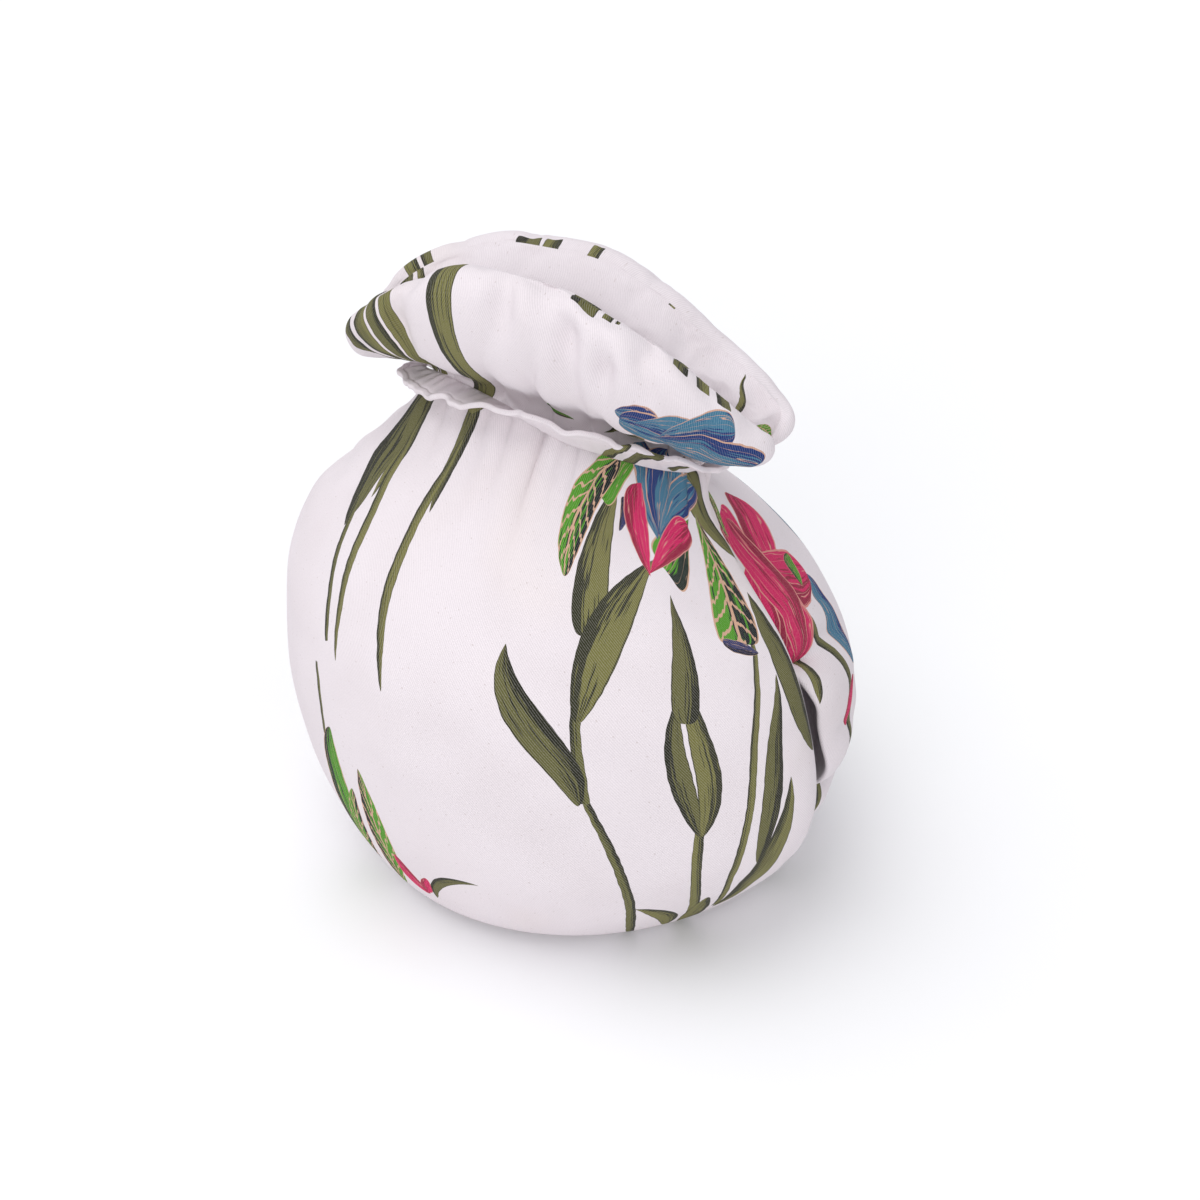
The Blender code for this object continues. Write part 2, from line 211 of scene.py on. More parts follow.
FRONT_FRILL = table(
    FRILL_TABLE_COLUMNS,
    *FRILL_HANDLE_END,
    (-0.45, 2, 0.9, 13.5, 0, 1.7),
    (-0.25, 0.8, 1, 13.5, 18, 1.6),
    (-0.05, -1, 1.5, 13, 40, 1.4),
    (0.2, -3, 2.2, 13, 57, 1.3),
    (0.5, -3, 2.4, 13, 57, 1.3),
    (0.72, -2.2, 2.6, 12, 48, 1.1),
    (0.88, 0, 3.4, 10.5, 28, 0.8),
    (1, 1.4, 1.8, 8.5, 10, 0.3),
)
BACK_FRILL = table(
    FRILL_TABLE_COLUMNS,
    *FRILL_HANDLE_END,
    (-0.4, 2.2, 0.9, 13.5, -3, 1.8),
    (0, 2.2, 0.9, 13, 4, 1.9),
    (0.45, 2.2, 0.9, 12.5, 10, 1.8),
    (0.68, 2.2, 1, 12, 6, 1.4),
    (0.88, 2.2, 2.6, 10, 0, 0.8),
    (1, 2.2, 1.3, 8.5, -4, 0.3),
)
WAVES = table(
    ("strength", "half_turns", "start"),
    (0.62, 8.5, 0.4),
    (0.38, 5.3, 2.1),
)
OVERTONE, OVERTONE_START = 0.22, 0.9

# --- finer relief than the CAD holds
HALF_CUT = 150.0  # half the width that a panel was cut to, before the neck gathered it
EVEN_COLUMNS, EVEN_REACH = 89, 0.9  # evenly spaced ones, and the share that they fill
EDGE_COLUMNS = (1.0, 0.986, 0.962, 0.93)
FIRST_BODY_ROW = 14.0  # the hem's own rows lie below it
BODY_ROW_COUNT = 46
LIP_ROW_COUNT = 26
FRILL_COLUMNS = 281
FRILL_ROWS = (0, 0.12, 0.25, 0.38, 0.50, 0.61, 0.70, 0.76, 0.80, 0.84, 0.88, 0.93, 1.0)
RING_ANGLES = (45, 90, 135)  # degrees round the turned edge of a sheet
TOP_RIM_REACH = 0.4  # share of its half thickness that a sheet's top rim stands out

# Creases run from one place on the flat cloth to another; a ridge has a depth below 0.
CREASE_COLUMNS = (
    "from_u", "from_v", "to_u", "to_v", "half_width", "depth_from", "depth_to",
)
FRONT_CREASES = table(
    CREASE_COLUMNS,
    # Gathers that run down from the neck seam.
    (-126, -4, -112, -34, 4, 1.8, 0),
    (-107, -4, -84, -52, 4.5, 2.2, 0),
    (-82, -4, -52, -46, 4, 2.4, 0),
    (-60, -4, -34, -50, 3.6, 2.2, 0),
    (-40, -4, -24, -32, 3.2, 1.8, 0),
    (-30, -4, -14, -38, 5, -1.2, 0),
    (-20, -4, -2, -56, 5, 2.8, 0),
    (6, -4, 11, -74, 3.4, 3.2, 0),
    (13, -4, 17, -44, 3.6, -1.3, 0),
    (20, -4, 22, -34, 2.8, 1.6, 0),
    (29, -4, 33, -42, 3.6, 2.4, 0),
    (41, -4, 44, -34, 3.6, 1.9, 0),
    (58, -4, 56, -30, 3.2, 1.9, 0),
    (76, -4, 72, -40, 4, 2.2, 0),
    (96, -4, 94, -30, 3.6, 2, 0),
    (116, -4, 112, -40, 4.5, 2.2, 0),
    (134, -4, 130, -26, 4, 1.5, 0),
    # Gathers that run up from it.
    (-112, 2, -108, 20, 4, 1.8, 0),
    (-84, 2, -86, 28, 4, 2.2, 0),
    (-62, 2, -54, 20, 3.5, 1.8, 0),
    (-30, 2, -26, 32, 4.5, 2.6, 0),
    (-8, 2, -12, 22, 3.5, 1.8, 0),
    (8, 2, 9, 28, 4, 2.4, 0),
    (36, 2, 30, 24, 4, 2.2, 0),
    (54, 2, 50, 32, 4, 2.2, 0),
    (78, 2, 72, 24, 4, 1.9, 0),
    (100, 2, 98, 28, 4, 1.9, 0),
    (122, 2, 116, 20, 4, 1.4, 0),
    # Soft folds across the lip.
    (-4, 70, 12, 62, 7, 0.8, 3.2),
    (12, 62, 26, 52, 7, 3.2, 4.6),
    (26, 52, 32, 22, 7, 4.4, 1),
    (25, 60, 13, 8, 5, -2, -1.4),
    (38, 60, 47, 48, 5, 0, 3.4),
    (47, 48, 54, 30, 5, 3.4, 0),
    (-8, 72, -7, 54, 8, 0.4, 2.6),
    (-7, 54, -24, 22, 8, 2.6, 0.6),
    (52, 70, 62, 62, 7, 0.7, 2.6),
    (62, 62, 72, 46, 7, 2.6, 0.5),
    (-62, 70, -78, 46, 9, 0.6, 2.6),
    (-78, 46, -90, 28, 8, 2.6, 0.6),
    (92, 66, 104, 40, 8, 0.8, 2.2),
    # The hollow that a hand leaves on the belly, hardly to be seen.
    (96, -186, 116, -204, 7, 0.9, 0.3),
    (-96, -60, -74, -120, 14, 0.9, 0.3),
)
BACK_CREASES = table(
    CREASE_COLUMNS,
    (-120, -4, -106, -38, 4.5, 1.9, 0),
    (-96, -4, -84, -50, 4.5, 2.2, 0),
    (-70, -4, -64, -34, 4, 1.8, 0),
    (-48, -4, -42, -60, 4, 2.6, 0),
    (-24, -4, -20, -36, 4, 1.8, 0),
    (-2, -4, 4, -56, 4.5, 2.4, 0),
    (22, -4, 22, -32, 4, 1.7, 0),
    (46, -4, 52, -58, 4, 2.4, 0),
    (74, -4, 72, -34, 4, 1.8, 0),
    (98, -4, 92, -46, 4.5, 2, 0),
    (124, -4, 120, -30, 4, 1.6, 0),
    (-100, 2, -104, 24, 4, 1.8, 0),
    (-72, 2, -66, 20, 4, 1.8, 0),
    (-40, 2, -44, 28, 4.5, 2.2, 0),
    (-12, 2, -8, 20, 4, 1.8, 0),
    (20, 2, 14, 30, 4.5, 2.2, 0),
    (52, 2, 54, 22, 4, 1.8, 0),
    (84, 2, 78, 28, 4, 1.8, 0),
    (112, 2, 108, 18, 4, 1.4, 0),
    # The edge of the spout slit is drawn in, and wrinkles run out from there.
    (150, -97, 139, -107, 6, 7.5, 6),
    (139, -107, 112, -116, 4.5, 6, 0.4),
    (150, -84, 128, -88, 6, -1.6, -1),
    (150, -122, 118, -130, 6, -2.4, -2),
    (144, -90, 116, -97, 3.2, 2, 1.4),
    (130, -99, 106, -128, 3.2, 2.6, 0),
    (112, -100, 94, -120, 3.2, 2.2, 0),
    (104, -84, 90, -98, 3.2, 1.6, 0),
    (150, -168, 136, -172, 5, 7, 5),
    (136, -172, 114, -166, 4, 4, 0),
    (150, -152, 122, -150, 7, -2.2, -1.6),
    (150, -188, 126, -198, 5, 2.6, 0),
    (140, -142, 112, -158, 4, 2.4, 0.4),
)
CREASE_PART_IN = 12.0  # higher up on the lip, a crease doesn't reach the inside
FULL_DENT_PADDING = 10.0  # where the padding is thinner, a crease is shallower
INSIDE_PASSES = 40
INSIDE_FILL, INSIDE_REACH, INSIDE_RISE = 5.0, 105.0, 1.25  # how the lips' inner faces fill out
HAND_ROOM = 7.2  # and how near to the middle plane they may come where a hand reaches in,
HAND_HALF_LENGTH, HAND_END_POWER = 48.0, 4  # which is this far along,
HAND_FROM, HAND_OVER = 214.0, 8.0  # and sets in at this height

STITCH_INSET, STITCH_HALF_WIDTH, STITCH_DEPTH = 2.6, 0.5, 0.9  # topstitching on the frill
FOLDED_EXTRA = 0.7  # how much thicker the frill is past it, where its edge is folded
PLEAT_DEPTH, PLEAT_REACH, PLEAT_OUT = 0.6, 0.45, 0.35
PLEATS_START_OVER = 1 / 8  # share of the frill's width
PLEAT_TURNS = (25, 1.4, 6.3)  # half turns, and the strength and half turns of their unevenness
RUFFLE_REACH = 1.0  # how far the free edge sways in and out
RUFFLE_TURNS = (11, 1.1, 4.3)

SIM_FRAMES = 20
SIM_RULES = {
    "quality": 6, "mass": 0.25, "pin_stiffness": 4,
    "tension_stiffness": 12, "compression_stiffness": 12, "shear_stiffness": 6,
    "bending_stiffness": 0.6, "use_pressure": True, "uniform_pressure_force": 3.0,
    "shrink_min": -0.03,  # the cloth is cut too large by this share
}
HEM_HELD = 12.0  # height of the turned hem that stays put
NECK_HELD = 4.0  # reach of the neck's gathers, and the shares of the width by the edges
EDGE_HELD, EDGE_HELD_OVER = 0.93, 0.05
BODY_CAP, LIP_CAP = 0.8, 1.3  # the furthest that it moves a point


# --- curves
def smooth(knots, values, at):
    """A smooth curve through a table's values, with no overshoot past flat stretches."""
    step = np.diff(knots)
    slope = np.diff(values) / step
    product = slope[:-1] * slope[1:]
    total = slope[:-1] + slope[1:]
    middle = np.where(product > 0, 2 * product / np.where(total == 0, 1, total), 0)
    tangent = np.concatenate(([slope[0]], middle, [slope[-1]]))
    place = np.clip(np.searchsorted(knots, at, side="right") - 1, 0, len(step) - 1)
    share = (at - knots[place]) / step[place]
    square, cube = share**2, share**3
    return (
        (2 * cube - 3 * square + 1) * values[place]
        + (cube - 2 * square + share) * step[place] * tangent[place]
        + (3 * square - 2 * cube) * values[place + 1]
        + (cube - square) * step[place] * tangent[place + 1]
    )


def look_up(values, name, at):
    """A table's column, read smoothly at values of its first column."""
    knots = next(iter(values.values()))
    return smooth(knots, values[name], np.asarray(at, float))


def rounded_edge(distance, start):
    """Padding left, from 1 to 0, on the way from `start` to an edge at 1."""
    share = np.clip((distance - start) / (1 - start), 0, 1)
    return np.sqrt(1 - share**2)


def softer_least(first, second):
    """The lesser of two thicknesses, with no corner where one takes over."""
    first, second = (np.maximum(each, LEAST_ROOM) ** -ROOM_POWER for each in (first, second))
    return (first + second) ** (-1 / ROOM_POWER)


def unit(vectors):
    return vectors / np.maximum(np.linalg.norm(vectors, axis=-1, keepdims=True), 1e-9)


# --- the middle surface of a panel, with Y counted away from the middle plane
def outward(across):
    angle = across * math.pi / 2
    x, y = np.sin(angle) / NECK_HALF_LENGTH, np.cos(angle) / NECK_DEPTH
    return unit(np.stack((x, y, np.zeros_like(x)), -1))


def pucker(panel, across, reach_name, distance):
    """Depth of the gather grooves at a distance from the neck."""
    total = np.zeros(np.broadcast(across, distance).shape)
    rows = panel["puckers"]
    for middle, wide, deep, reach in zip(
        rows["across"], rows["half_width"], rows["depth"], rows[reach_name]
    ):
        spread = wide * (1 + distance / reach)
        groove = deep * np.exp(-(((across - middle) / spread) ** 2))
        total += groove * np.exp(-((distance / reach) ** PUCKER_FADE))
    return total


def fold(panel, across, share):
    """Depth of the diagonal folds at a share of the way from neck to crest."""
    total = np.zeros(np.broadcast(across, share).shape)
    for low, high, wide, deep in zip(*panel["folds"].values()):
        middle = low + (high - low) * share
        total += deep * np.exp(-(((across - middle) / wide) ** 2))
    return total * np.sin(np.pi * np.minimum(1, share * FOLD_SPAN)) ** FOLD_FADE


def body_point(panel, across, height, inset=0.0):
    depth = look_up(BODY, panel["depth"], height)
    gap = np.where(
        across > 0, look_up(BODY, "spout_gap", height), look_up(BODY, "handle_gap", height)
    )
    power = look_up(panel["section"], "power", height)
    angle = across * np.arccos(((gap + SEAM_HALF_GAP) / depth) ** (1 / power))
    length = np.where(
        across > 0,
        look_up(BODY, "spout_length", height) - look_up(panel["section"], "draw_in", height),
        look_up(BODY, "handle_length", height),
    )
    lift = NECK_ARCH * np.cos(angle) - NECK_TILT * np.sin(angle)
    swing = look_up(BODY, "swing", height) * np.maximum(0, np.sin(angle)) ** SWING_POWER
    x = (length - inset) * np.sin(angle)
    y = (depth - inset) * np.cos(angle) ** power - panel["side"] * swing
    z = height + lift * (height / NECK_HEIGHT) ** ARCH_POWER
    if inset:
        y = np.maximum(y, SEAM_HALF_GAP - panel["side"] * swing)
    return np.stack((x, y, z), -1)


def lip_point(panel, across, share):
    neck = body_point(panel, across, np.full_like(across, NECK_HEIGHT))
    crest = np.stack([look_up(panel["crest"], name, across) for name in CREST_COLUMNS[1:]], -1)
    chord = np.linalg.norm(crest - neck, axis=-1, keepdims=True)
    out, up = outward(across), np.array((0.0, 0.0, 1.0))
    leave = neck + np.maximum(COLLAR, LEAVE_UP * chord) * up
    arrive = crest + chord * (ARRIVE_OUT * out - ARRIVE_UP * up)
    part, rest = share[..., None], 1 - share[..., None]
    point = (
        neck * rest**3
        + leave * 3 * rest**2 * part
        + arrive * 3 * rest * part**2
        + crest * part**3
    )
    groove = fold(panel, across, share)
    groove += pucker(panel, across, "reach_up", chord[..., 0] * share)
    parting = LIP_PARTING * across**PARTING_POWER
    point[..., 1] += parting * (1 - np.exp(-share / PARTING_REACH))
    return point - out * groove[..., None]


def body_padding(across, height):
    near_neck = np.exp(-(((NECK_HEIGHT - height) / PRESSED_REACH) ** 2))
    padding = BODY_PADDING + (NECK_PADDING - BODY_PADDING) * near_neck
    return padding * rounded_edge(abs(across), EDGE_ROUNDING)


def lip_padding(across, share):
    swell = np.clip((share - SWELL_START) / (SWELL_END - SWELL_START), 0, 1)
    swell = np.sin(np.pi / 2 * swell) ** SWELL_POWER
    padding = NECK_PADDING + (LIP_PADDING - NECK_PADDING) * swell
    low_down = 1 - np.minimum(1, share / LOW_LIP)
    start = TIP_ROUNDING + (EDGE_ROUNDING - TIP_ROUNDING) * low_down
    return padding * rounded_edge(abs(across), start) * rounded_edge(share, CREST_ROUNDING)


def creases(rows, u, v):
    """Depth of the creases at places on the flat cloth."""
    total = np.zeros(np.broadcast(u, v).shape)
    for u0, v0, u1, v1, wide, first, last in zip(*rows.values()):
        along = u1 - u0, v1 - v0
        share = ((u - u0) * along[0] + (v - v0) * along[1]) / (along[0] ** 2 + along[1] ** 2)
        share = np.clip(share, 0, 1)
        distance = np.hypot(u - u0 - along[0] * share, v - v0 - along[1] * share)
        total += (first + (last - first) * share) * np.exp(-((distance / wide) ** 2))
    return total


def normals(points):
    along, upward = unit(np.gradient(points, axis=0)), unit(np.gradient(points, axis=1))
    return along, upward, unit(np.cross(upward, along))


def both_faces(points, padding, dents):
    """The faces of a padded sheet round its middle points; dents press the outer one in."""
    normal = normals(points)[2]
    half = padding[..., None] / 2
    return points + normal * (half - dents[..., None]), points - normal * half


def filled_inside(inner, columns, shares):
    """Smooths the inner face over the lip, and fills it out towards the middle plane."""
    lip = inner.shape[1] - len(shares)
    for _ in range(INSIDE_PASSES):
        below, here, above = inner[:, lip - 1 : -2], inner[:, lip:-1], inner[:, lip + 1 :]
        inner[:, lip:-1] = here + (below + above - 2 * here) / 4
    middle = np.clip(1 - (columns * HALF_CUT / INSIDE_REACH) ** 2, 0, 1)
    bulge = INSIDE_FILL * middle[:, None] * np.sin(np.pi * shares**INSIDE_RISE)[None, :]
    x, y, z = np.moveaxis(inner[:, lip:], -1, 0)
    roomy = np.exp(-((x / HAND_HALF_LENGTH) ** HAND_END_POWER))
    roomy *= np.clip((z - HAND_FROM) / HAND_OVER, 0, 1)
    least = SEAM_HALF_GAP + (HAND_ROOM - SEAM_HALF_GAP) * roomy
    inner[:, lip:, 1] = np.maximum(y - bulge, np.minimum(least, np.maximum(y, SEAM_HALF_GAP)))
    return inner


def panel_grid(panel):
    """Outer and inner face points, share of the width, and cloth height of a panel's grid."""
    even = np.linspace(-EVEN_REACH, EVEN_REACH, EVEN_COLUMNS)
    edge = np.array(EDGE_COLUMNS)
    columns = np.concatenate((-edge, even, edge[::-1]))
    rows, pads = [], []
    for height, inset, padding in zip(*HEM.values()):
        rows.append(body_point(panel, columns, np.full_like(columns, height), inset))
        pads.append(padding * rounded_edge(abs(columns), EDGE_ROUNDING))
    for height in np.linspace(FIRST_BODY_ROW, NECK_HEIGHT, BODY_ROW_COUNT):
        level = np.full_like(columns, height)
        groove = pucker(panel, columns, "reach_down", NECK_HEIGHT - level)
        rows.append(body_point(panel, columns, level) - outward(columns) * groove[:, None])
        pads.append(body_padding(columns, level))
    neck_row = len(rows) - 1
    # Rows crowd together towards the crest, where the padding rounds off.
    shares = np.sin(np.linspace(0, np.pi / 2, LIP_ROW_COUNT + 1)[1:])
    for share in shares:
        level = np.full_like(columns, share)
        point = lip_point(panel, columns, level)
        room = 2 * (point[:, 1] - SEAM_HALF_GAP)
        rows.append(point)
        pads.append(softer_least(room, lip_padding(columns, level)))
    points, padding = np.stack(rows, 1), np.maximum(np.stack(pads, 1), RIM_PADDING)
    middle = points[len(columns) // 2]
    cloth_v = np.concatenate(([0], np.cumsum(np.linalg.norm(np.diff(middle, axis=0), axis=1))))
    cloth_v -= cloth_v[neck_row]
    depth = creases(panel["creases"], columns[:, None] * HALF_CUT, cloth_v[None, :])
    outer_only = np.clip(cloth_v / CREASE_PART_IN, 0, 1)
    points = points - normals(points)[2] * (depth * (1 - outer_only))[..., None]
    dents = depth * outer_only * np.clip(padding / FULL_DENT_PADDING, 0, 1)
    outer, inner = both_faces(points, padding, dents)
    return outer, filled_inside(inner, columns, shares), columns, cloth_v


# --- meshes
# How far each ring of the rim grows past the grid, on the cloth and in the plain layout,
# and the size, margin and shift of the inner face in the layout.
RIM_ON_CLOTH, RIM_IN_LAYOUT = 0.9 * MM, 0.004
LAYOUT_SIZE, LAYOUT_MARGIN, LAYOUT_SHIFT = (0.46, 0.96), 0.02, 0.5


def closed_sheet(name, outer, inner, columns, cloth_v, side, materials):
    """A padded sheet: two grids of points as its faces, joined by a rounded rim.

    The first material covers the outer face, and the second the inner one.
    """
    wide, tall = outer.shape[:2]
    middle, half = (outer + inner) / 2, (outer - inner) / 2
    along, upward, _ = normals(middle)

    # The rim runs once round the grid.
    loop = [(i, 0) for i in range(wide)] + [(wide - 1, j) for j in range(1, tall)]
    loop += [(i, tall - 1) for i in range(wide - 2, -1, -1)]
    loop += [(0, j) for j in range(tall - 2, 0, -1)]
    at = tuple(np.array(loop).T)
    step = np.zeros((len(loop), 2))
    step[at[0] == 0, 0], step[at[0] == wide - 1, 0] = -1, 1
    step[at[1] == 0, 1], step[at[1] == tall - 1, 1] = -1, 1
    away = unit(along[at] * step[:, :1] + upward[at] * step[:, 1:])
    away *= np.where(at[1] == tall - 1, TOP_RIM_REACH, 1)[:, None]
    away *= np.linalg.norm(half[at], axis=1, keepdims=True)
    rings = [
        middle[at] + half[at] * math.cos(turn) + away * math.sin(turn)
        for turn in np.radians(RING_ANGLES)
    ]
    vertices = np.concatenate((outer.reshape(-1, 3), inner.reshape(-1, 3), *rings))
    vertices = vertices * (MM, side * MM, MM) - (CENTRE_X * MM, 0, 0)
    vertices[:, 2] = np.maximum(vertices[:, 2], 0)

    index = np.arange(wide * tall).reshape(wide, tall)
    corners = index[:-1, :-1], index[:-1, 1:], index[1:, 1:], index[1:, :-1]
    front = np.stack(corners, -1).reshape(-1, 4)
    back = front[:, ::-1] + wide * tall
    start = 2 * wide * tall
    count = len(loop)
    lines = [index[at]]
    lines += [start + ring * count + np.arange(count) for ring in range(len(rings))]
    lines += [index[at] + wide * tall]
    strips = [
        np.stack((low, np.roll(low, -1), np.roll(high, -1), high), -1)
        for low, high in zip(lines[:-1], lines[1:])
    ]
    half_way = len(strips) // 2
    faces = np.concatenate((front, *strips[:half_way], back, *strips[half_way:]))
    on_inner = np.zeros(len(faces), bool)
    on_inner[len(front) + half_way * count :] = True
    if side < 0:
        faces = faces[:, ::-1]

    mesh = bpy.data.meshes.new(name)
    mesh.from_pydata(vertices.tolist(), [], faces.tolist())
    mesh.shade_smooth()
    for material in materials:
        mesh.materials.append(material)
    mesh.polygons.foreach_set("material_index", on_inner.astype(int))

    # Flat cloth coordinates and a plain layout of both faces side by side.
    cloth = np.stack(np.broadcast_arrays(columns[:, None] * HALF_CUT, cloth_v[None, :]), -1)
    shares = np.linspace(0, 1, wide), np.linspace(0, 1, tall)
    plan = np.stack(np.meshgrid(*shares, indexing="ij"), -1) * LAYOUT_SIZE + LAYOUT_MARGIN
    for layer, grid, growth, shift in (
        ("cloth", cloth * MM, RIM_ON_CLOTH, 0.0),
        ("OFBake", plan, RIM_IN_LAYOUT, LAYOUT_SHIFT),
    ):
        flat = grid.reshape(-1, 2)
        grown = [grid[at] + step * growth * (ring + 1) for ring in range(len(rings))]
        shrunk = [grid[at] + step * growth * (len(rings) - ring) for ring in range(len(rings))]
        by_outer = np.concatenate((flat, flat, *grown))
        by_inner = np.concatenate((flat, flat, *shrunk)) + (shift, 0)
        corner_vertex = faces.reshape(-1)
        inner_corner = np.repeat(on_inner, 4)
        values = np.where(inner_corner[:, None], by_inner[corner_vertex], by_outer[corner_vertex])
        uv = mesh.uv_layers.new(name=layer)
        uv.data.foreach_set("uv", values.reshape(-1))
    mesh.uv_layers["cloth"].active = True

    return add_object(name, mesh)


def add_object(name, data):
    new = bpy.data.objects.new(name, data)
    bpy.context.scene.collection.objects.link(new)
    return new


def apply_modifiers(piece):
    graph = bpy.context.evaluated_depsgraph_get()
    finished = bpy.data.meshes.new_from_object(piece.evaluated_get(graph))
    piece.modifiers.clear()
    old, piece.data = piece.data, finished
    bpy.data.meshes.remove(old)


def subdivide(piece):
    finer = piece.modifiers.new("finer", "SUBSURF")
    finer.levels = finer.render_levels = 1
    apply_modifiers(piece)
    piece.data.shade_smooth()


def fill_out(piece, held, cap, side):
    """Inflates a padded piece a little, with cloth that is cut slightly too large.

    `held` is how firmly each vertex is sewn down, and `cap` the furthest that one may move.
    """
    start = np.empty(len(piece.data.vertices) * 3)
    piece.data.vertices.foreach_get("co", start)
    start = start.reshape(-1, 3)
    group = piece.vertex_groups.new(name="sewn")
    for level in np.unique(held):
        group.add(np.flatnonzero(held == level).tolist(), float(level), "REPLACE")
    cloth = piece.modifiers.new("cloth", "CLOTH")
    for name, value in SIM_RULES.items():
        setattr(cloth.settings, name, value)
    cloth.settings.vertex_group_mass = group.name
    cloth.settings.effector_weights.gravity = 0
    cloth.collision_settings.use_collision = False
    scene = bpy.context.scene
    for moment in range(1, SIM_FRAMES + 1):
        scene.frame_set(moment)
    apply_modifiers(piece)
    scene.frame_set(1)
    moved = np.empty(len(start) * 3)
    piece.data.vertices.foreach_get("co", moved)
    move = moved.reshape(-1, 3) - start
    length = np.linalg.norm(move, axis=1, keepdims=True)
    limit = cap[:, None]
    move *= limit * np.tanh(length / np.maximum(limit, 1e-6)) / np.maximum(length, 1e-9)
    place = start + move
    place[:, 2] = np.maximum(place[:, 2], 0)
    lip = place[:, 2] > NECK_HEIGHT * MM
    place[lip, 1] = side * np.maximum(place[lip, 1] * side, SEAM_HALF_GAP * MM)
    piece.data.vertices.foreach_set("co", place.reshape(-1))
    piece.data.update()


# --- nodes
class Graph:
    """Adds nodes to a tree and joins their inputs to sockets or plain values."""

    def __init__(self, tree):
        self.tree = tree

    def add(self, kind, *inputs, **settings):
        node = self.tree.nodes.new(kind)
        for name, value in settings.items():
            setattr(node, name, value)
        for socket, value in zip(node.inputs, inputs):
            self.join(value, socket)
        return node

    def join(self, value, socket):
        if isinstance(value, bpy.types.NodeSocket):
            self.tree.links.new(value, socket)
        elif value is not None:
            socket.default_value = value

    def math(self, operation, *inputs):
        return self.add("ShaderNodeMath", *inputs, operation=operation).outputs[0]

    def times(self, first, second):
        return self.math("MULTIPLY", first, second)

    def vector(self, operation, *inputs):
        node = self.add("ShaderNodeVectorMath", *inputs, operation=operation)
        return node.outputs["Value" if operation == "DOT_PRODUCT" else "Vector"]

    def mix(self, share, first, second, kind="RGBA"):
        node = self.add("ShaderNodeMix", data_type=kind)
        sockets = [s for s in node.inputs if s.enabled]
        for value, socket in zip((share, first, second), sockets):
            self.join(value, socket)
        return next(s for s in node.outputs if s.enabled)

    def ease(self, value, low, high):
        """0 below `low`, 1 above `high`, and a soft step between them."""
        node = self.add("ShaderNodeMapRange", value, low, high, interpolation_type="SMOOTHSTEP")
        return node.outputs[0]

    def noise(self, vector, scale, detail=2.0):
        node = self.add("ShaderNodeTexNoise", noise_dimensions="3D")
        set_inputs(node, {"Scale": scale, "Detail": detail})
        self.join(vector, node.inputs["Vector"])
        return node

    def combine(self, x, y, z):
        return self.add("ShaderNodeCombineXYZ", x, y, z).outputs[0]


def set_inputs(node, values):
    for name, value in values.items():
        node.inputs[name].default_value = value


def new_group(name, inputs, outputs):
    group = bpy.data.node_groups.new(name, "ShaderNodeTree")
    for title, kind in inputs:
        group.interface.new_socket(title, in_out="INPUT", socket_type=kind)
    for title, kind in outputs:
        group.interface.new_socket(title, in_out="OUTPUT", socket_type=kind)
    source = group.nodes.new("NodeGroupInput")
    target = group.nodes.new("NodeGroupOutput")
    return group, Graph(group), source.outputs, target.inputs


# --- the print
# Inks: main colour, the darker strokes drawn over it, and the thin lines on petals.
UNSEEN = (0, 0, 0)
INKS = {
    "none": (UNSEEN, UNSEEN, UNSEEN),
    "stem": ((0.120, 0.118, 0.036), (0.022, 0.024, 0.010), UNSEEN),
    "leaf": ((0.165, 0.158, 0.048), (0.028, 0.030, 0.012), UNSEEN),
    "shade": ((0.115, 0.112, 0.036), (0.018, 0.020, 0.009), UNSEEN),
    "green": ((0.070, 0.270, 0.010), (0.004, 0.016, 0.008), (0.560, 0.340, 0.230)),
    "feather": ((0.070, 0.270, 0.010), (0.003, 0.008, 0.008), (0.560, 0.340, 0.230)),
    "blue": ((0.045, 0.165, 0.260), (0.003, 0.028, 0.145), (0.560, 0.330, 0.240)),
    "magenta": ((0.570, 0.006, 0.098), (0.270, 0.002, 0.036), (0.620, 0.240, 0.210)),
    "navy": ((0.016, 0.024, 0.110), (0.004, 0.006, 0.024), (0.500, 0.330, 0.230)),
}
INK_NAMES = list(INKS)
FIRST_PETAL_INK = INK_NAMES.index("green")
FEATHER_INK = INK_NAMES.index("feather")
SAME_INK = 0.1  # inks less than this apart are one
SEED_STEP, SEED_SPAN, SEED_START = 0.37, 0.9, 0.05  # a fraction of its own for each motif

# Strokes: noise across and along the motif and from one to the next, how they crowd towards
# one edge, both edges and the ends, and where the noise turns into ink.
STROKE_NOISE = (8.0, 2.6, 9.7)
CROWD_ASIDE, CROWD_EDGES, CROWD_ENDS, MIDDLE = 0.24, 0.12, 0.12, 0.45
STROKE_STEP = (0.585, 0.62)
OUTLINE_FROM, OUTLINE_STRENGTH = 0.91, 0.8
# Petal lines: how many, how they wander, and how wide they are.
FAN_LINES, FAN_WANDER, FAN_LINE_WIDTH = 2.6, 1.6, 0.030
FEATHER_LINES, FEATHER_SLANT, FEATHER_WANDER, FEATHER_LINE_WIDTH = 7.5, -1.5, 0.9, 0.10
LINE_NOISE, RIB_HALF_WIDTH, RIM_FROM = 0.7, 0.07, 0.93

# How a motif's width runs from its foot to its tip: powers of the way from each end.
OUTLINES = {
    "stem": (0.05, 0.10),
    "leaf": (0.65, 0.85),
    "strap": (0.22, 0.55),
    "bar": (0.02, 0.02),
    "petal": (0.55, 0.28),
    "fan": (1.10, 0.16),
    "bud": (0.40, 0.60),
    "drop": (0.95, 0.30),
}
MOTIF_VECTORS = ("Cloth", "Carry", "Foot", "Along", "Aside")
MOTIF_NUMBERS = ("Bend", "Sway", "Half Width", "Foot Power", "Tip Power", "Ink")
BEND_PEAK, SWAY_PEAK = 1 / 4, 1 / 20.8  # most that the curves of bend and sway come to


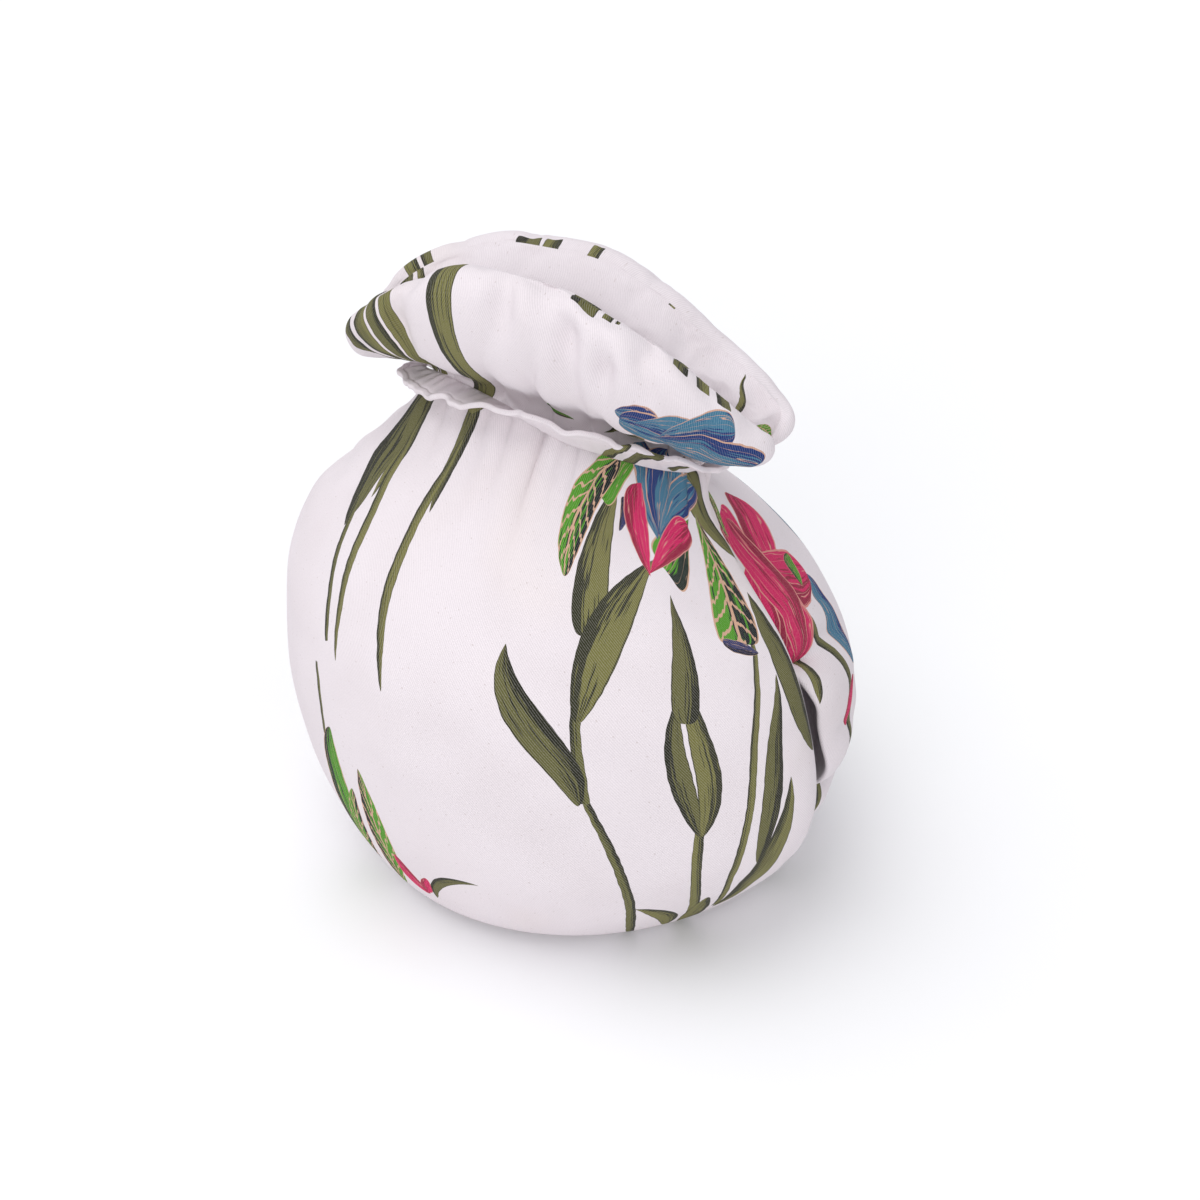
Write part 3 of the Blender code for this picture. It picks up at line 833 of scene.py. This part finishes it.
def motif_group():
    """One drawn stroke, leaf or petal: it passes on its own coordinates where it lies."""
    sockets = [(name, "NodeSocketVector") for name in MOTIF_VECTORS]
    sockets += [(name, "NodeSocketFloat") for name in MOTIF_NUMBERS]
    carry = [("Carry", "NodeSocketVector")]
    group, g, source, target = new_group("print_motif", sockets, carry)
    place = g.vector("SUBTRACT", source["Cloth"], source["Foot"])
    way = g.vector("DOT_PRODUCT", place, source["Along"])
    left = g.math("SUBTRACT", 1.0, way)
    arch = g.times(way, left)
    line = g.times(arch, source["Bend"])
    weave = g.times(arch, g.math("SUBTRACT", way, 0.5))
    line = g.math("MULTIPLY_ADD", weave, source["Sway"], line)
    aside = g.math("SUBTRACT", g.vector("DOT_PRODUCT", place, source["Aside"]), line)
    width = g.times(g.math("POWER", way, source["Foot Power"]), source["Half Width"])
    width = g.times(width, g.math("POWER", left, source["Tip Power"]))
    across = g.math("DIVIDE", aside, g.math("MAXIMUM", width, 1e-6))
    inside = g.math("LESS_THAN", g.math("ABSOLUTE", across), 1.0)
    inside = g.times(inside, g.math("GREATER_THAN", arch, 0.0))
    own = g.combine(way, across, source["Ink"])
    g.join(g.mix(inside, source["Carry"], own, kind="VECTOR"), target["Carry"])
    return group


def draw_motifs(g, cloth, motifs, group):
    """Chains one group for each motif, in the order in which they are printed."""
    carry = g.combine(0.0, 0.0, 0.0)
    for order, row in enumerate(motifs):
        ink, outline, foot_u, foot_v, tip_u, tip_v, half_width, *curve = row
        bend, sway = (*curve, 0, 0)[:2]
        node = g.add("ShaderNodeGroup", node_tree=group)
        run = np.array((tip_u - foot_u, tip_v - foot_v)) * MM
        length = np.linalg.norm(run)
        foot_power, tip_power = OUTLINES[outline]
        total = foot_power + tip_power
        peak = (foot_power / total) ** foot_power * (tip_power / total) ** tip_power
        along = run / length**2
        aside = np.array((-run[1], run[0])) / length
        own_seed = (order * SEED_STEP) % SEED_SPAN + SEED_START
        values = {
            "Foot": (foot_u * MM, foot_v * MM, 0),
            "Along": (*along, 0),
            "Aside": (*aside, 0),
            "Bend": bend / BEND_PEAK * MM,
            "Sway": sway / SWAY_PEAK * MM,
            "Half Width": half_width * MM / peak,
            "Foot Power": foot_power,
            "Tip Power": tip_power,
            "Ink": INK_NAMES.index(ink) + own_seed,
        }
        set_inputs(node, values)
        g.join(cloth, node.inputs["Cloth"])
        g.join(carry, node.inputs["Carry"])
        carry = node.outputs["Carry"]
    return carry


def ink_ramp(g, share, column):
    """A stepped ramp with one colour for each ink."""
    node = g.add("ShaderNodeValToRGB", share)
    ramp = node.color_ramp
    ramp.interpolation = "CONSTANT"
    while len(ramp.elements) < len(INKS):
        ramp.elements.new(1.0)
    for order, colours in enumerate(INKS.values()):
        ramp.elements[order].position = order / len(INKS)
        ramp.elements[order].color = (*colours[column], 1)
    return node.outputs["Color"]


def ink_group():
    """Colour of the print from the motif coordinates: strokes, shade and petal lines."""
    group, g, source, target = new_group(
        "print_inks",
        [("Ground", "NodeSocketColor"), ("Carry", "NodeSocketVector")],
        [("Color", "NodeSocketColor"), ("Printed", "NodeSocketFloat")],
    )
    parts = g.add("ShaderNodeSeparateXYZ", source["Carry"]).outputs
    way, across, ink = parts["X"], parts["Y"], parts["Z"]
    seed = g.math("FRACT", ink)
    share = g.math("DIVIDE", ink, len(INKS))
    petal = g.math("GREATER_THAN", ink, float(FIRST_PETAL_INK))
    printed = g.math("GREATER_THAN", ink, 1.0)

    # Strokes run along the motif and crowd towards one edge.
    stroke_space = g.combine(
        *(g.times(part, scale) for part, scale in zip((across, way, ink), STROKE_NOISE))
    )
    strokes = g.noise(stroke_space, 1.0, detail=1.0).outputs[0]
    side = g.times(across, g.math("SIGN", g.math("SUBTRACT", seed, 0.5)))
    crowd = g.times(g.times(side, side), CROWD_EDGES)
    crowd = g.math("MULTIPLY_ADD", side, CROWD_ASIDE, crowd)
    from_middle = g.math("ABSOLUTE", g.math("SUBTRACT", way, MIDDLE))
    crowd = g.math("MULTIPLY_ADD", from_middle, CROWD_ENDS, crowd)
    dark = g.ease(g.math("ADD", strokes, crowd), *STROKE_STEP)
    aside = g.math("ABSOLUTE", across)
    edge = g.math("GREATER_THAN", aside, OUTLINE_FROM)
    edge = g.times(edge, g.math("SUBTRACT", 1.0, petal))
    dark = g.math("MAXIMUM", dark, g.times(edge, OUTLINE_STRENGTH))

    # Petal lines fan out from the foot, or branch off a middle vein like a feather.
    wander = g.noise(stroke_space, LINE_NOISE, detail=1.0).outputs[0]
    fan = g.math("MULTIPLY_ADD", across, FAN_LINES, g.times(wander, FAN_WANDER))
    branch = g.times(way, FEATHER_LINES)
    branch = g.math("MULTIPLY_ADD", aside, FEATHER_SLANT, branch)
    branch = g.math("MULTIPLY_ADD", wander, FEATHER_WANDER, branch)
    is_feather = g.math("COMPARE", g.math("FLOOR", ink), float(FEATHER_INK), SAME_INK)
    run = g.mix(is_feather, fan, branch, kind="FLOAT")
    lines = g.math("ABSOLUTE", g.math("SUBTRACT", g.math("FRACT", run), 0.5))
    width = g.mix(is_feather, FAN_LINE_WIDTH, FEATHER_LINE_WIDTH, kind="FLOAT")
    lines = g.math("LESS_THAN", lines, width)
    rib = g.times(g.math("LESS_THAN", aside, RIB_HALF_WIDTH), is_feather)
    rim = g.math("GREATER_THAN", aside, RIM_FROM)
    lines = g.math("MAXIMUM", g.math("MAXIMUM", lines, rib), rim)
    lines = g.times(lines, petal)

    colour = g.mix(dark, ink_ramp(g, share, 0), ink_ramp(g, share, 1))
    colour = g.mix(lines, colour, ink_ramp(g, share, 2))
    g.join(g.mix(printed, source["Ground"], colour), target["Color"])
    g.join(printed, target["Printed"])
    return group


# Motifs in print order: ink, outline, foot and tip on the flat cloth (u, v, u, v), half width,
# bend to the left of the way from foot to tip, and S-shaped sway. The last two may be left out.
FRONT_PRINT = [
    # Three straps that hang from the neck.
    ("shade", "leaf", -136, 4, -80, -76, 12, 4),
    ("stem", "stem", -86, -64, -58, -114, 1.5, 2),
    ("leaf", "leaf", -114, 4, -78, -60, 6, 5),
    ("leaf", "strap", -110, -8, -51, -118, 2.8, 9),
    ("shade", "leaf", -52, 4, -38, -50, 5, -1),
    ("leaf", "strap", -46, -20, -28, -117, 2.6, -3),
    # A flower that grows in from the left by the hem.
    ("stem", "stem", -64, -126, -57, -160, 1, 1),
    ("green", "bud", -60, -226, -54, -148, 8.5, -3, 2),
    ("feather", "bud", -50, -228, -44, -172, 5.5, 2),
    ("feather", "leaf", -34, -224, -38, -158, 6, -3),
    ("magenta", "bud", -16, -216, -28, -196, 4, 2),
    ("magenta", "bud", -16, -214, -14, -202, 3),
    ("shade", "leaf", -12, -216, 10, -192, 2.6, 7),
    # The tall stem with its leaves.
    ("stem", "stem", 67, -238, 45, -140, 1.7, -3),
    ("stem", "stem", 45, -142, 43, -96, 2),
    ("shade", "leaf", 43, -143, 17, -85, 6.8, 1, 3),
    ("leaf", "strap", 46, -80, 59, -20, 8, 3),
    ("leaf", "leaf", 44, -110, 80, -50, 8.2, 9),
    # A twisted leaf beside it, on its own stem.
    ("leaf", "stem", 91, -240, 83, -146, 2.2, 3),
    ("shade", "leaf", 83, -158, 79, -99, 4.4, 4),
    ("leaf", "leaf", 84, -158, 80, -94, 5.4, -6),
    ("shade", "drop", 86, -63, 82, -110, 6, -1),
    ("leaf", "bud", 92, -236, 90, -200, 5.5, 2),
    ("leaf", "leaf", 80, -228, 63, -200, 3.6, -5),
    # Narrow leaves by the spout slit.
    ("leaf", "stem", 97, -214, 124, -82, 1.8, 6),
    ("shade", "leaf", 110, -178, 130, -98, 4.8, 3),
    ("leaf", "leaf", 98, -218, 126, -140, 6.2, -4),
    ("shade", "leaf", 148, -136, 138, -66, 8.5, 4),
    # The blossom on the shoulder.
    ("leaf", "strap", 112, 2, 146, -52, 7.5, -3),
    ("shade", "strap", 122, -2, 150, -58, 3.4, -2),
    ("green", "drop", 76, -2, 50, -24, 9.5, -4),
    ("feather", "bud", 57, -6, 35, -58, 8.5, -7),
    ("navy", "bud", 64, -24, 62, -38, 2.6, 2),
    ("green", "fan", 112, -32, 86, -54, 12.5),
    ("feather", "fan", 122, -28, 116, -84, 13.5, 4),
    ("blue", "drop", 84, -42, 74, 2, 10.5, -2),
    ("blue", "drop", 86, -42, 98, 2, 13, 2),
    ("blue", "drop", 86, -40, 122, -14, 11.5, 3),
    ("magenta", "drop", 77, -56, 71, -18, 7.5, 1),
    ("magenta", "drop", 77, -55, 110, -36, 8, 2),
    ("navy", "bud", 106, -82, 124, -88, 2.6),
    # Over the lip.
    ("leaf", "bar", -56, -8, -44, 84, 8.4, -9, 4),
    ("shade", "bar", -136, 4, -124, 96, 5.5, -7),
    ("leaf", "bar", -122, 2, -112, 96, 6, -10),
    ("shade", "bar", -108, 2, -101, 96, 4.2, -10),
    ("leaf", "bar", -99, 2, -90, 96, 4, -10),
    ("shade", "bar", 29, 61.6, 31, 98, 6),
    ("leaf", "bar", 40, 62, 41, 98, 2.4),
    ("shade", "bar", 45, 62.2, 46, 98, 1),
    ("shade", "bar", 80, 61.2, 81, 98, 5),
    ("leaf", "bar", 94, 60.6, 95, 98, 4.4),
    ("shade", "bar", 106, 60.2, 107, 98, 4),
    ("green", "leaf", 4, 6, 24, 4, 1.8),
    ("shade", "drop", 46, 2, 74, 26, 4.5, -3),
    ("blue", "bud", 82, 38, 57, 37, 6.5, -2),
    ("blue", "bud", 60, 34, 112, 39, 10),
    ("blue", "drop", 66, 36, 98, 47, 7, 1),
    ("blue", "drop", 80, 36, 113, 56, 6.5, 2),
    ("blue", "drop", 76, 32, 136, 48, 9.5, 1),
    ("blue", "drop", 80, 27, 143, 40, 8.5, -3),
]
BACK_PRINT = [
    # By the spout slit.
    ("stem", "stem", 154, -190, 124, -84, 2.2, 9),
    ("leaf", "leaf", 134, -106, 151, -120, 3.4, 2),
    ("shade", "strap", 150, -232, 122, -176, 6, 3),
    ("blue", "petal", 104, -96, 116, -134, 6, 2),
    ("magenta", "bud", 122, -134, 136, -146, 4, 2),
    ("magenta", "drop", 128, -76, 88, -56, 13, 3),
    ("magenta", "drop", 124, -72, 122, -40, 13, 2),
    ("magenta", "drop", 126, -60, 103, -96, 13, 3),
    ("magenta", "drop", 130, -60, 156, -88, 14, 2),
    ("magenta", "drop", 128, -62, 140, -106, 14, -2),
    ("magenta", "bud", 120, -46, 136, -104, 13),
    ("feather", "leaf", 124, 0, 128, -50, 6, 2),
    ("green", "bud", 98, -86, 112, -92, 3.4, 1),
    ("blue", "petal", 52, -80, 74, -128, 10, 4),
    ("magenta", "petal", 58, -84, 44, -116, 9, 3),
    # Towards the handle slit.
    ("stem", "stem", 60, -236, 62, -96, 2.8, 4, 2),
    ("leaf", "leaf", 62, -206, 36, -128, 10, 4, 3),
    ("shade", "leaf", 64, -180, 90, -136, 7, 3),
    ("leaf", "leaf", -10, -232, 6, -96, 10, 3, 5),
    ("shade", "leaf", -6, -214, -20, -130, 7, 4, 3),
    ("stem", "stem", 18, -238, 14, -60, 2.8, 4, 2),
    ("feather", "petal", 14, -54, 36, -12, 10, 4),
    ("feather", "petal", 12, -54, -14, -18, 10, -4),
    ("blue", "petal", 13, -52, 12, -6, 12, 2),
    ("magenta", "fan", 13, -70, 14, -36, 10),
    ("stem", "stem", -66, -236, -58, -70, 2.8, -4, 2),
    ("leaf", "leaf", -66, -200, -94, -132, 10, -4, 2),
    ("shade", "leaf", -62, -168, -38, -112, 8, -3, 2),
    ("magenta", "petal", -58, -72, -74, -36, 11, -4),
    ("magenta", "petal", -58, -72, -44, -32, 11, 4),
    ("green", "fan", -57, -84, -58, -54, 10),
    ("shade", "strap", -112, -2, -84, -108, 6, -4, 2),
    ("leaf", "strap", -92, -2, -76, -70, 5, -3),
    ("leaf", "leaf", -126, -220, -116, -110, 9, 3, 3),
    ("stem", "stem", -140, -210, -134, -60, 2.4, 3, 1),
    # Over the lip.
    ("leaf", "bar", -106, 2, -102, 88, 5, -6),
    ("shade", "bar", -96, 2, -90, 88, 3.5, -6),
    ("shade", "leaf", 32, -6, 18, 40, 5, 4, 3),
    ("shade", "bar", -27, 47.4, -26, 88, 7),
    ("leaf", "bar", -14, 46.9, -13, 88, 4.6),
    ("leaf", "bar", 11.5, 46.6, 12, 88, 3.4),
    ("leaf", "bar", 58, 48.6, 58, 88, 2),
    ("blue", "petal", 66, 8, 108, 40, 11, 5),
    ("blue", "petal", 70, 6, 120, 26, 9, -3),
]
# What shows of the print on the inner side of the lips.
FRONT_INNER_PRINT = [
    ("shade", "bar", 29, 56, 31, 98, 6),
    ("leaf", "bar", 40, 57, 41, 98, 2.4),
    ("shade", "bar", 80, 56, 81, 98, 4.2),
    ("leaf", "bar", 94, 56, 95, 98, 3.6),
    ("leaf", "bar", -112, 50, -112, 98, 6),
    ("shade", "bar", -100, 50, -100, 98, 5),
]
BACK_INNER_PRINT = [
    ("leaf", "leaf", 125, 24, 107, 50, 2.2, -1),
    ("feather", "bud", 138, 34, 153, 46, 4, 2),
    ("leaf", "bar", 11.5, 51, 12, 88, 3.4),
    ("leaf", "bar", 58, 53, 58, 88, 2),
    ("shade", "bar", -106, 44, -102, 90, 6),
    ("leaf", "bar", -94, 46, -90, 90, 2.6),
]
FRILL_PRINT = [
    ("leaf", "strap", 46, -3, 72, 15, 2.8, 1),
    ("shade", "strap", 62, -4, 94, 14, 3, 2),
    ("shade", "leaf", 96, 3, 116, 10, 2.2),
]

# Noise scales are for metres; a step is where noise starts to count, and where it fully does.
GROUND = (0.745, 0.686, 0.714, 1)
WORN_GROUND, WORN_SCALE, WORN_STEP = (0.715, 0.655, 0.680, 1), 28.0, (0.35, 0.75)
STAIN, STAIN_STRENGTH, STAIN_SCALE, STAIN_STEP = (0.74, 0.61, 0.48, 1), 0.22, 9.0, (0.56, 0.80)
SPECK, SPECK_STRENGTH, SPECK_SCALE, SPECK_STEP = (0.36, 0.28, 0.24, 1), 0.30, 900.0, (0.77, 0.83)
PRINT_WANDER = ((22.0, 5.5), (240.0, 0.6))  # noise scale, and reach in millimetres
TWILL_PITCH, TWILL_SLANT = 1.05, 0.8  # millimetres from ridge to ridge, and their slope
YARN_SCALE, YARN_PUSH = 1500.0, 0.0004
RIDGE_SHARE, YARN_SHARE = 0.7, 0.6
SHOW_THROUGH, BARE_STEP = 0.13, (0.62, 1.0)  # share of the cloth that shows on raised threads
# Painted shade of the twill: the cloth's colour is scaled down to the second value in its
# grooves, and lifted by the first value's share of the weave on its ridges and raised yarn.
TWILL_PAINTED_LIGHT, TWILL_PAINTED_SHADE = 0.17, 0.87
CRUMPLE_SCALE, CRUMPLE_HEIGHT = 55.0, 5.0
BUMP = {"Strength": 0.55, "Distance": 0.00012}
MATT_COTTON = {
    "Roughness": 0.92, "Specular IOR Level": 0.12, "Sheen Weight": 0.01, "Sheen Roughness": 0.6,
}


def cloth_material(name, motifs, motif, inks):
    """Cotton twill: woven ridges, small slubs and specks, with the print over them."""
    material = bpy.data.materials.new(name)
    material.use_nodes = True
    tree = material.node_tree
    g = Graph(tree)
    shader = tree.nodes["Principled BSDF"]
    cloth = g.add("ShaderNodeUVMap", uv_map="cloth").outputs[0]
    parts = g.add("ShaderNodeSeparateXYZ", cloth).outputs

    # A hand-printed edge: shapes wander by a few millimetres, and edges by a fraction of one.
    drawn = cloth
    for scale, reach in PRINT_WANDER:
        wander = g.noise(cloth, scale, detail=0.0).outputs["Color"]
        wander = g.vector("SUBTRACT", wander, (0.5, 0.5, 0.5))
        wander = g.vector("MULTIPLY", wander, (reach * MM, reach * MM, 0))
        drawn = g.vector("ADD", drawn, wander)

    worn = g.ease(g.noise(cloth, WORN_SCALE, detail=3.0).outputs[0], *WORN_STEP)
    stain = g.ease(g.noise(cloth, STAIN_SCALE).outputs[0], *STAIN_STEP)
    specks = g.ease(g.noise(cloth, SPECK_SCALE, detail=0.0).outputs[0], *SPECK_STEP)
    base = g.mix(worn, GROUND, WORN_GROUND)
    base = g.mix(g.times(stain, STAIN_STRENGTH), base, STAIN)
    base = g.mix(g.times(specks, SPECK_STRENGTH), base, SPECK)

    carry = draw_motifs(g, drawn, motifs, motif)
    node = g.add("ShaderNodeGroup", node_tree=inks)
    g.join(base, node.inputs["Ground"])
    g.join(carry, node.inputs["Carry"])
    colour, printed = node.outputs["Color"], node.outputs["Printed"]

    # Twill: fine diagonal ridges, broken up by the yarn's own unevenness.
    slant = g.math("MULTIPLY_ADD", parts["Y"], TWILL_SLANT, parts["X"])
    yarn = g.noise(cloth, YARN_SCALE, detail=1.0).outputs[0]
    slant = g.math("MULTIPLY_ADD", yarn, YARN_PUSH, slant)
    ridge = g.math("SINE", g.times(slant, 2 * math.pi / (TWILL_PITCH * MM)))
    ridge = g.math("MULTIPLY_ADD", ridge, 0.5, 0.5)
    weave = g.math("MULTIPLY_ADD", yarn, YARN_SHARE, g.times(ridge, RIDGE_SHARE))
    # Raised threads take less ink.
    bare = g.times(g.ease(weave, *BARE_STEP), SHOW_THROUGH)
    colour = g.mix(g.times(bare, printed), colour, base)
    # Painted shade: the colour is darker in the twill's grooves and lighter on its ridges and
    # raised yarn, as light falls on them.
    shaded = g.add("ShaderNodeVectorMath", colour, operation="SCALE")
    g.join(g.math("MULTIPLY_ADD", weave, TWILL_PAINTED_LIGHT, TWILL_PAINTED_SHADE), shaded.inputs["Scale"])
    g.join(shaded.outputs["Vector"], shader.inputs["Base Color"])

    crumple = g.noise(cloth, CRUMPLE_SCALE, detail=3.0).outputs[0]
    height = g.math("MULTIPLY_ADD", crumple, CRUMPLE_HEIGHT, weave)
    bump = g.add("ShaderNodeBump")
    set_inputs(bump, BUMP)
    g.join(height, bump.inputs["Height"])
    g.join(bump.outputs[0], shader.inputs["Normal"])
    set_inputs(shader, MATT_COTTON)
    return material


# --- pieces
PANEL_PARTS = (
    "side", "depth", "section", "crest", "puckers", "folds", "frill", "creases", "print",
    "inner_print",
)
FRONT_PARTS = (
    -1, "front_depth", FRONT_SECTION, FRONT_CREST, FRONT_PUCKERS, FRONT_FOLDS, FRONT_FRILL,
    FRONT_CREASES, FRONT_PRINT, FRONT_INNER_PRINT,
)
BACK_PARTS = (
    1, "back_depth", BACK_SECTION, BACK_CREST, BACK_PUCKERS, BACK_FOLDS, BACK_FRILL,
    BACK_CREASES, BACK_PRINT, BACK_INNER_PRINT,
)
PANELS = {
    "front": dict(zip(PANEL_PARTS, FRONT_PARTS)),
    "back": dict(zip(PANEL_PARTS, BACK_PARTS)),
}


def uneven_wave(across, half_turns, sway, sway_half_turns):
    return np.sin(np.pi * half_turns * across + sway * np.sin(np.pi * sway_half_turns * across))


def frill_grid(panel):
    """Both faces of a frill: it waves at its free edge and is pleated at its seam."""
    frill = panel["frill"]
    columns = np.linspace(-FRILL_END, FRILL_END, FRILL_COLUMNS)
    clipped = np.clip(columns, -1, 1)
    at = {name: look_up(frill, name, clipped) for name in FRILL_TABLE_COLUMNS[1:]}
    neck = body_point(panel, columns, NECK_HEIGHT + np.minimum(0, at["rise"]))
    out, lift = outward(clipped), np.radians(at["lift_degrees"])
    wave = np.zeros_like(columns)
    for strength, half_turns, start in zip(*WAVES.values()):
        turn = np.pi * half_turns * clipped + start
        wave += strength * (np.sin(turn) + OVERTONE * np.sin(2 * turn + OVERTONE_START))
    wave *= at["wave"]
    ruffle = uneven_wave(clipped, *RUFFLE_TURNS) * RUFFLE_REACH * at["wave"] / frill["wave"].max()
    pleat = uneven_wave(clipped, *PLEAT_TURNS)
    begin = NECK_PADDING / 2 + at["clearance"]
    rows = []
    for share in FRILL_ROWS:
        reach = begin + (at["width"] + PLEAT_OUT * pleat) * share * np.cos(lift)
        point = neck + out * (reach + ruffle * share**2)[:, None]
        rise = np.maximum(0, at["rise"]) + at["width"] * share * np.sin(lift)
        fade = np.exp(-((share / PLEAT_REACH) ** 2)) * min(1, share / PLEATS_START_OVER)
        point[:, 2] += rise + PLEAT_DEPTH * fade * pleat + wave * share**WAVE_POWER
        rows.append(point)
    from_edge = at["width"][:, None] * (1 - np.array(FRILL_ROWS))
    stitch = STITCH_DEPTH * np.exp(-(((from_edge - STITCH_INSET) / STITCH_HALF_WIDTH) ** 2))
    folded = FOLDED_EXTRA * np.clip((STITCH_INSET - from_edge) / STITCH_HALF_WIDTH, 0, 1)
    padding = FRILL_THICKNESS - FOLDED_EXTRA + folded - stitch
    outer, inner = both_faces(np.stack(rows, 1), padding, np.zeros_like(padding))
    return outer, inner, columns, at["width"].mean() * np.array(FRILL_ROWS)


def sewn_down(vertex_count, columns, cloth_v):
    """How firmly each vertex is held, and how far it may move in the simulation."""
    across, v = np.broadcast_arrays(abs(columns)[:, None], cloth_v[None, :])
    neck = np.exp(-((v / NECK_HELD) ** 2))
    hem = np.clip((HEM_HELD - (v - cloth_v[0])) / HEM_HELD, 0, 1)
    edge = np.clip((across - EDGE_HELD) / EDGE_HELD_OVER, 0, 1)
    held = np.round(np.maximum.reduce((neck, hem, edge)), 2)
    cap = np.where(v > 0, LIP_CAP, BODY_CAP) * MM * (1 - held)
    every, caps = np.ones(vertex_count), np.zeros(vertex_count)
    every[: 2 * held.size] = np.tile(held.reshape(-1), 2)
    caps[: 2 * held.size] = np.tile(cap.reshape(-1), 2)
    return every, caps


def make_panel(which, panel, motif, inks):
    outer_face, inner_face, columns, cloth_v = panel_grid(panel)
    outer = cloth_material(f"{which}_twill", panel["print"], motif, inks)
    inner = cloth_material(f"{which}_turned_twill", panel["inner_print"], motif, inks)
    piece = closed_sheet(
        f"{which}_padded_panel", outer_face, inner_face, columns, cloth_v, panel["side"],
        (outer, inner),
    )
    fill_out(piece, *sewn_down(len(piece.data.vertices), columns, cloth_v), panel["side"])
    subdivide(piece)
    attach(piece, "root")
    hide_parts(f"{which}_panel")


def make_frill(which, panel, material):
    outer, inner, columns, cloth_v = frill_grid(panel)
    piece = closed_sheet(
        f"{which}_gathered_frill", outer, inner, columns, cloth_v, panel["side"],
        (material, material),
    )
    subdivide(piece)
    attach(piece, "root")
    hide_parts(f"{which}_neck_frill")


# --- floor, light and camera
CAMERA_AZIMUTH, CAMERA_HEIGHT_ANGLE = 26.0, 37.0
CAMERA_DISTANCE = 0.900
CAMERA_LENS, CAMERA_SENSOR = 68.7, 36.0
AIM_ASIDE, AIM_HEIGHT = 15.5, 110.5  # millimetres, level across the view and up
FLOOR_REACH, FLOOR_DROP = 6.0, 0.0002  # metres
FLOOR_PAINT = {"Base Color": (0.88, 0.88, 0.89, 1), "Roughness": 0.8}
STUDIO_AIR = {"Color": (0.96, 0.97, 1.0, 1), "Strength": 0.68}
# Lights: where they stand as seen from the cosy, strength, spread in degrees and colour.
LIGHTS = {
    "key": ((0.2, -1.0, 0.45), 0.92, 50, (1.0, 0.99, 0.98)),
    "top": ((-0.25, -0.10, 1.0), 1.30, 50, (1.0, 1.0, 1.0)),
}


def make_camera():
    azimuth, height = math.radians(CAMERA_AZIMUTH), math.radians(CAMERA_HEIGHT_ANGLE)
    level = np.array((math.cos(azimuth), math.sin(azimuth), 0))
    aim = (level * AIM_ASIDE + (-CENTRE_X, 0, AIM_HEIGHT)) * MM
    back = np.array((
        math.sin(azimuth) * math.cos(height),
        -math.cos(azimuth) * math.cos(height),
        math.sin(height),
    ))
    data = bpy.data.cameras.new("camera")
    data.lens = CAMERA_LENS
    data.sensor_width = CAMERA_SENSOR
    camera = add_object("camera", data)
    camera.location = aim + back * CAMERA_DISTANCE
    camera.rotation_euler = (math.pi / 2 - height, 0, azimuth)
    bpy.context.scene.camera = camera


def make_light(name, towards, strength, spread, colour):
    """A soft light far away."""
    data = bpy.data.lights.new(name, "SUN")
    data.energy = strength
    data.angle = math.radians(spread)
    data.color = colour
    x, y, z = towards
    turn = math.atan2(math.hypot(x, y), z), 0, math.atan2(y, x) + math.pi / 2
    add_object(name, data).rotation_euler = turn


def make_floor():
    mesh = bpy.data.meshes.new("floor")
    far = FLOOR_REACH
    corners = [(-far, -far, 0), (far, -far, 0), (far, far, 0), (-far, far, 0)]
    mesh.from_pydata(corners, [], [(0, 1, 2, 3)])
    material = bpy.data.materials.new("floor_paint")
    material.use_nodes = True
    set_inputs(material.node_tree.nodes["Principled BSDF"], FLOOR_PAINT)
    mesh.materials.append(material)
    floor = add_object("floor", mesh)
    floor.location.z = -FLOOR_DROP


def make_world():
    bpy.context.scene.view_settings.view_transform = "Standard"
    world = bpy.data.worlds.new("studio")
    bpy.context.scene.world = world
    world.use_nodes = True
    set_inputs(world.node_tree.nodes["Background"], STUDIO_AIR)


def main():
    motif, inks = motif_group(), ink_group()
    frill_cloth = cloth_material("frill_twill", FRILL_PRINT, motif, inks)
    for which, panel in PANELS.items():
        make_panel(which, panel, motif, inks)
        make_frill(which, panel, frill_cloth)
    make_floor()
    make_world()
    for name, (towards, strength, spread, colour) in LIGHTS.items():
        make_light(name, towards, strength, spread, colour)
    make_camera()


main()
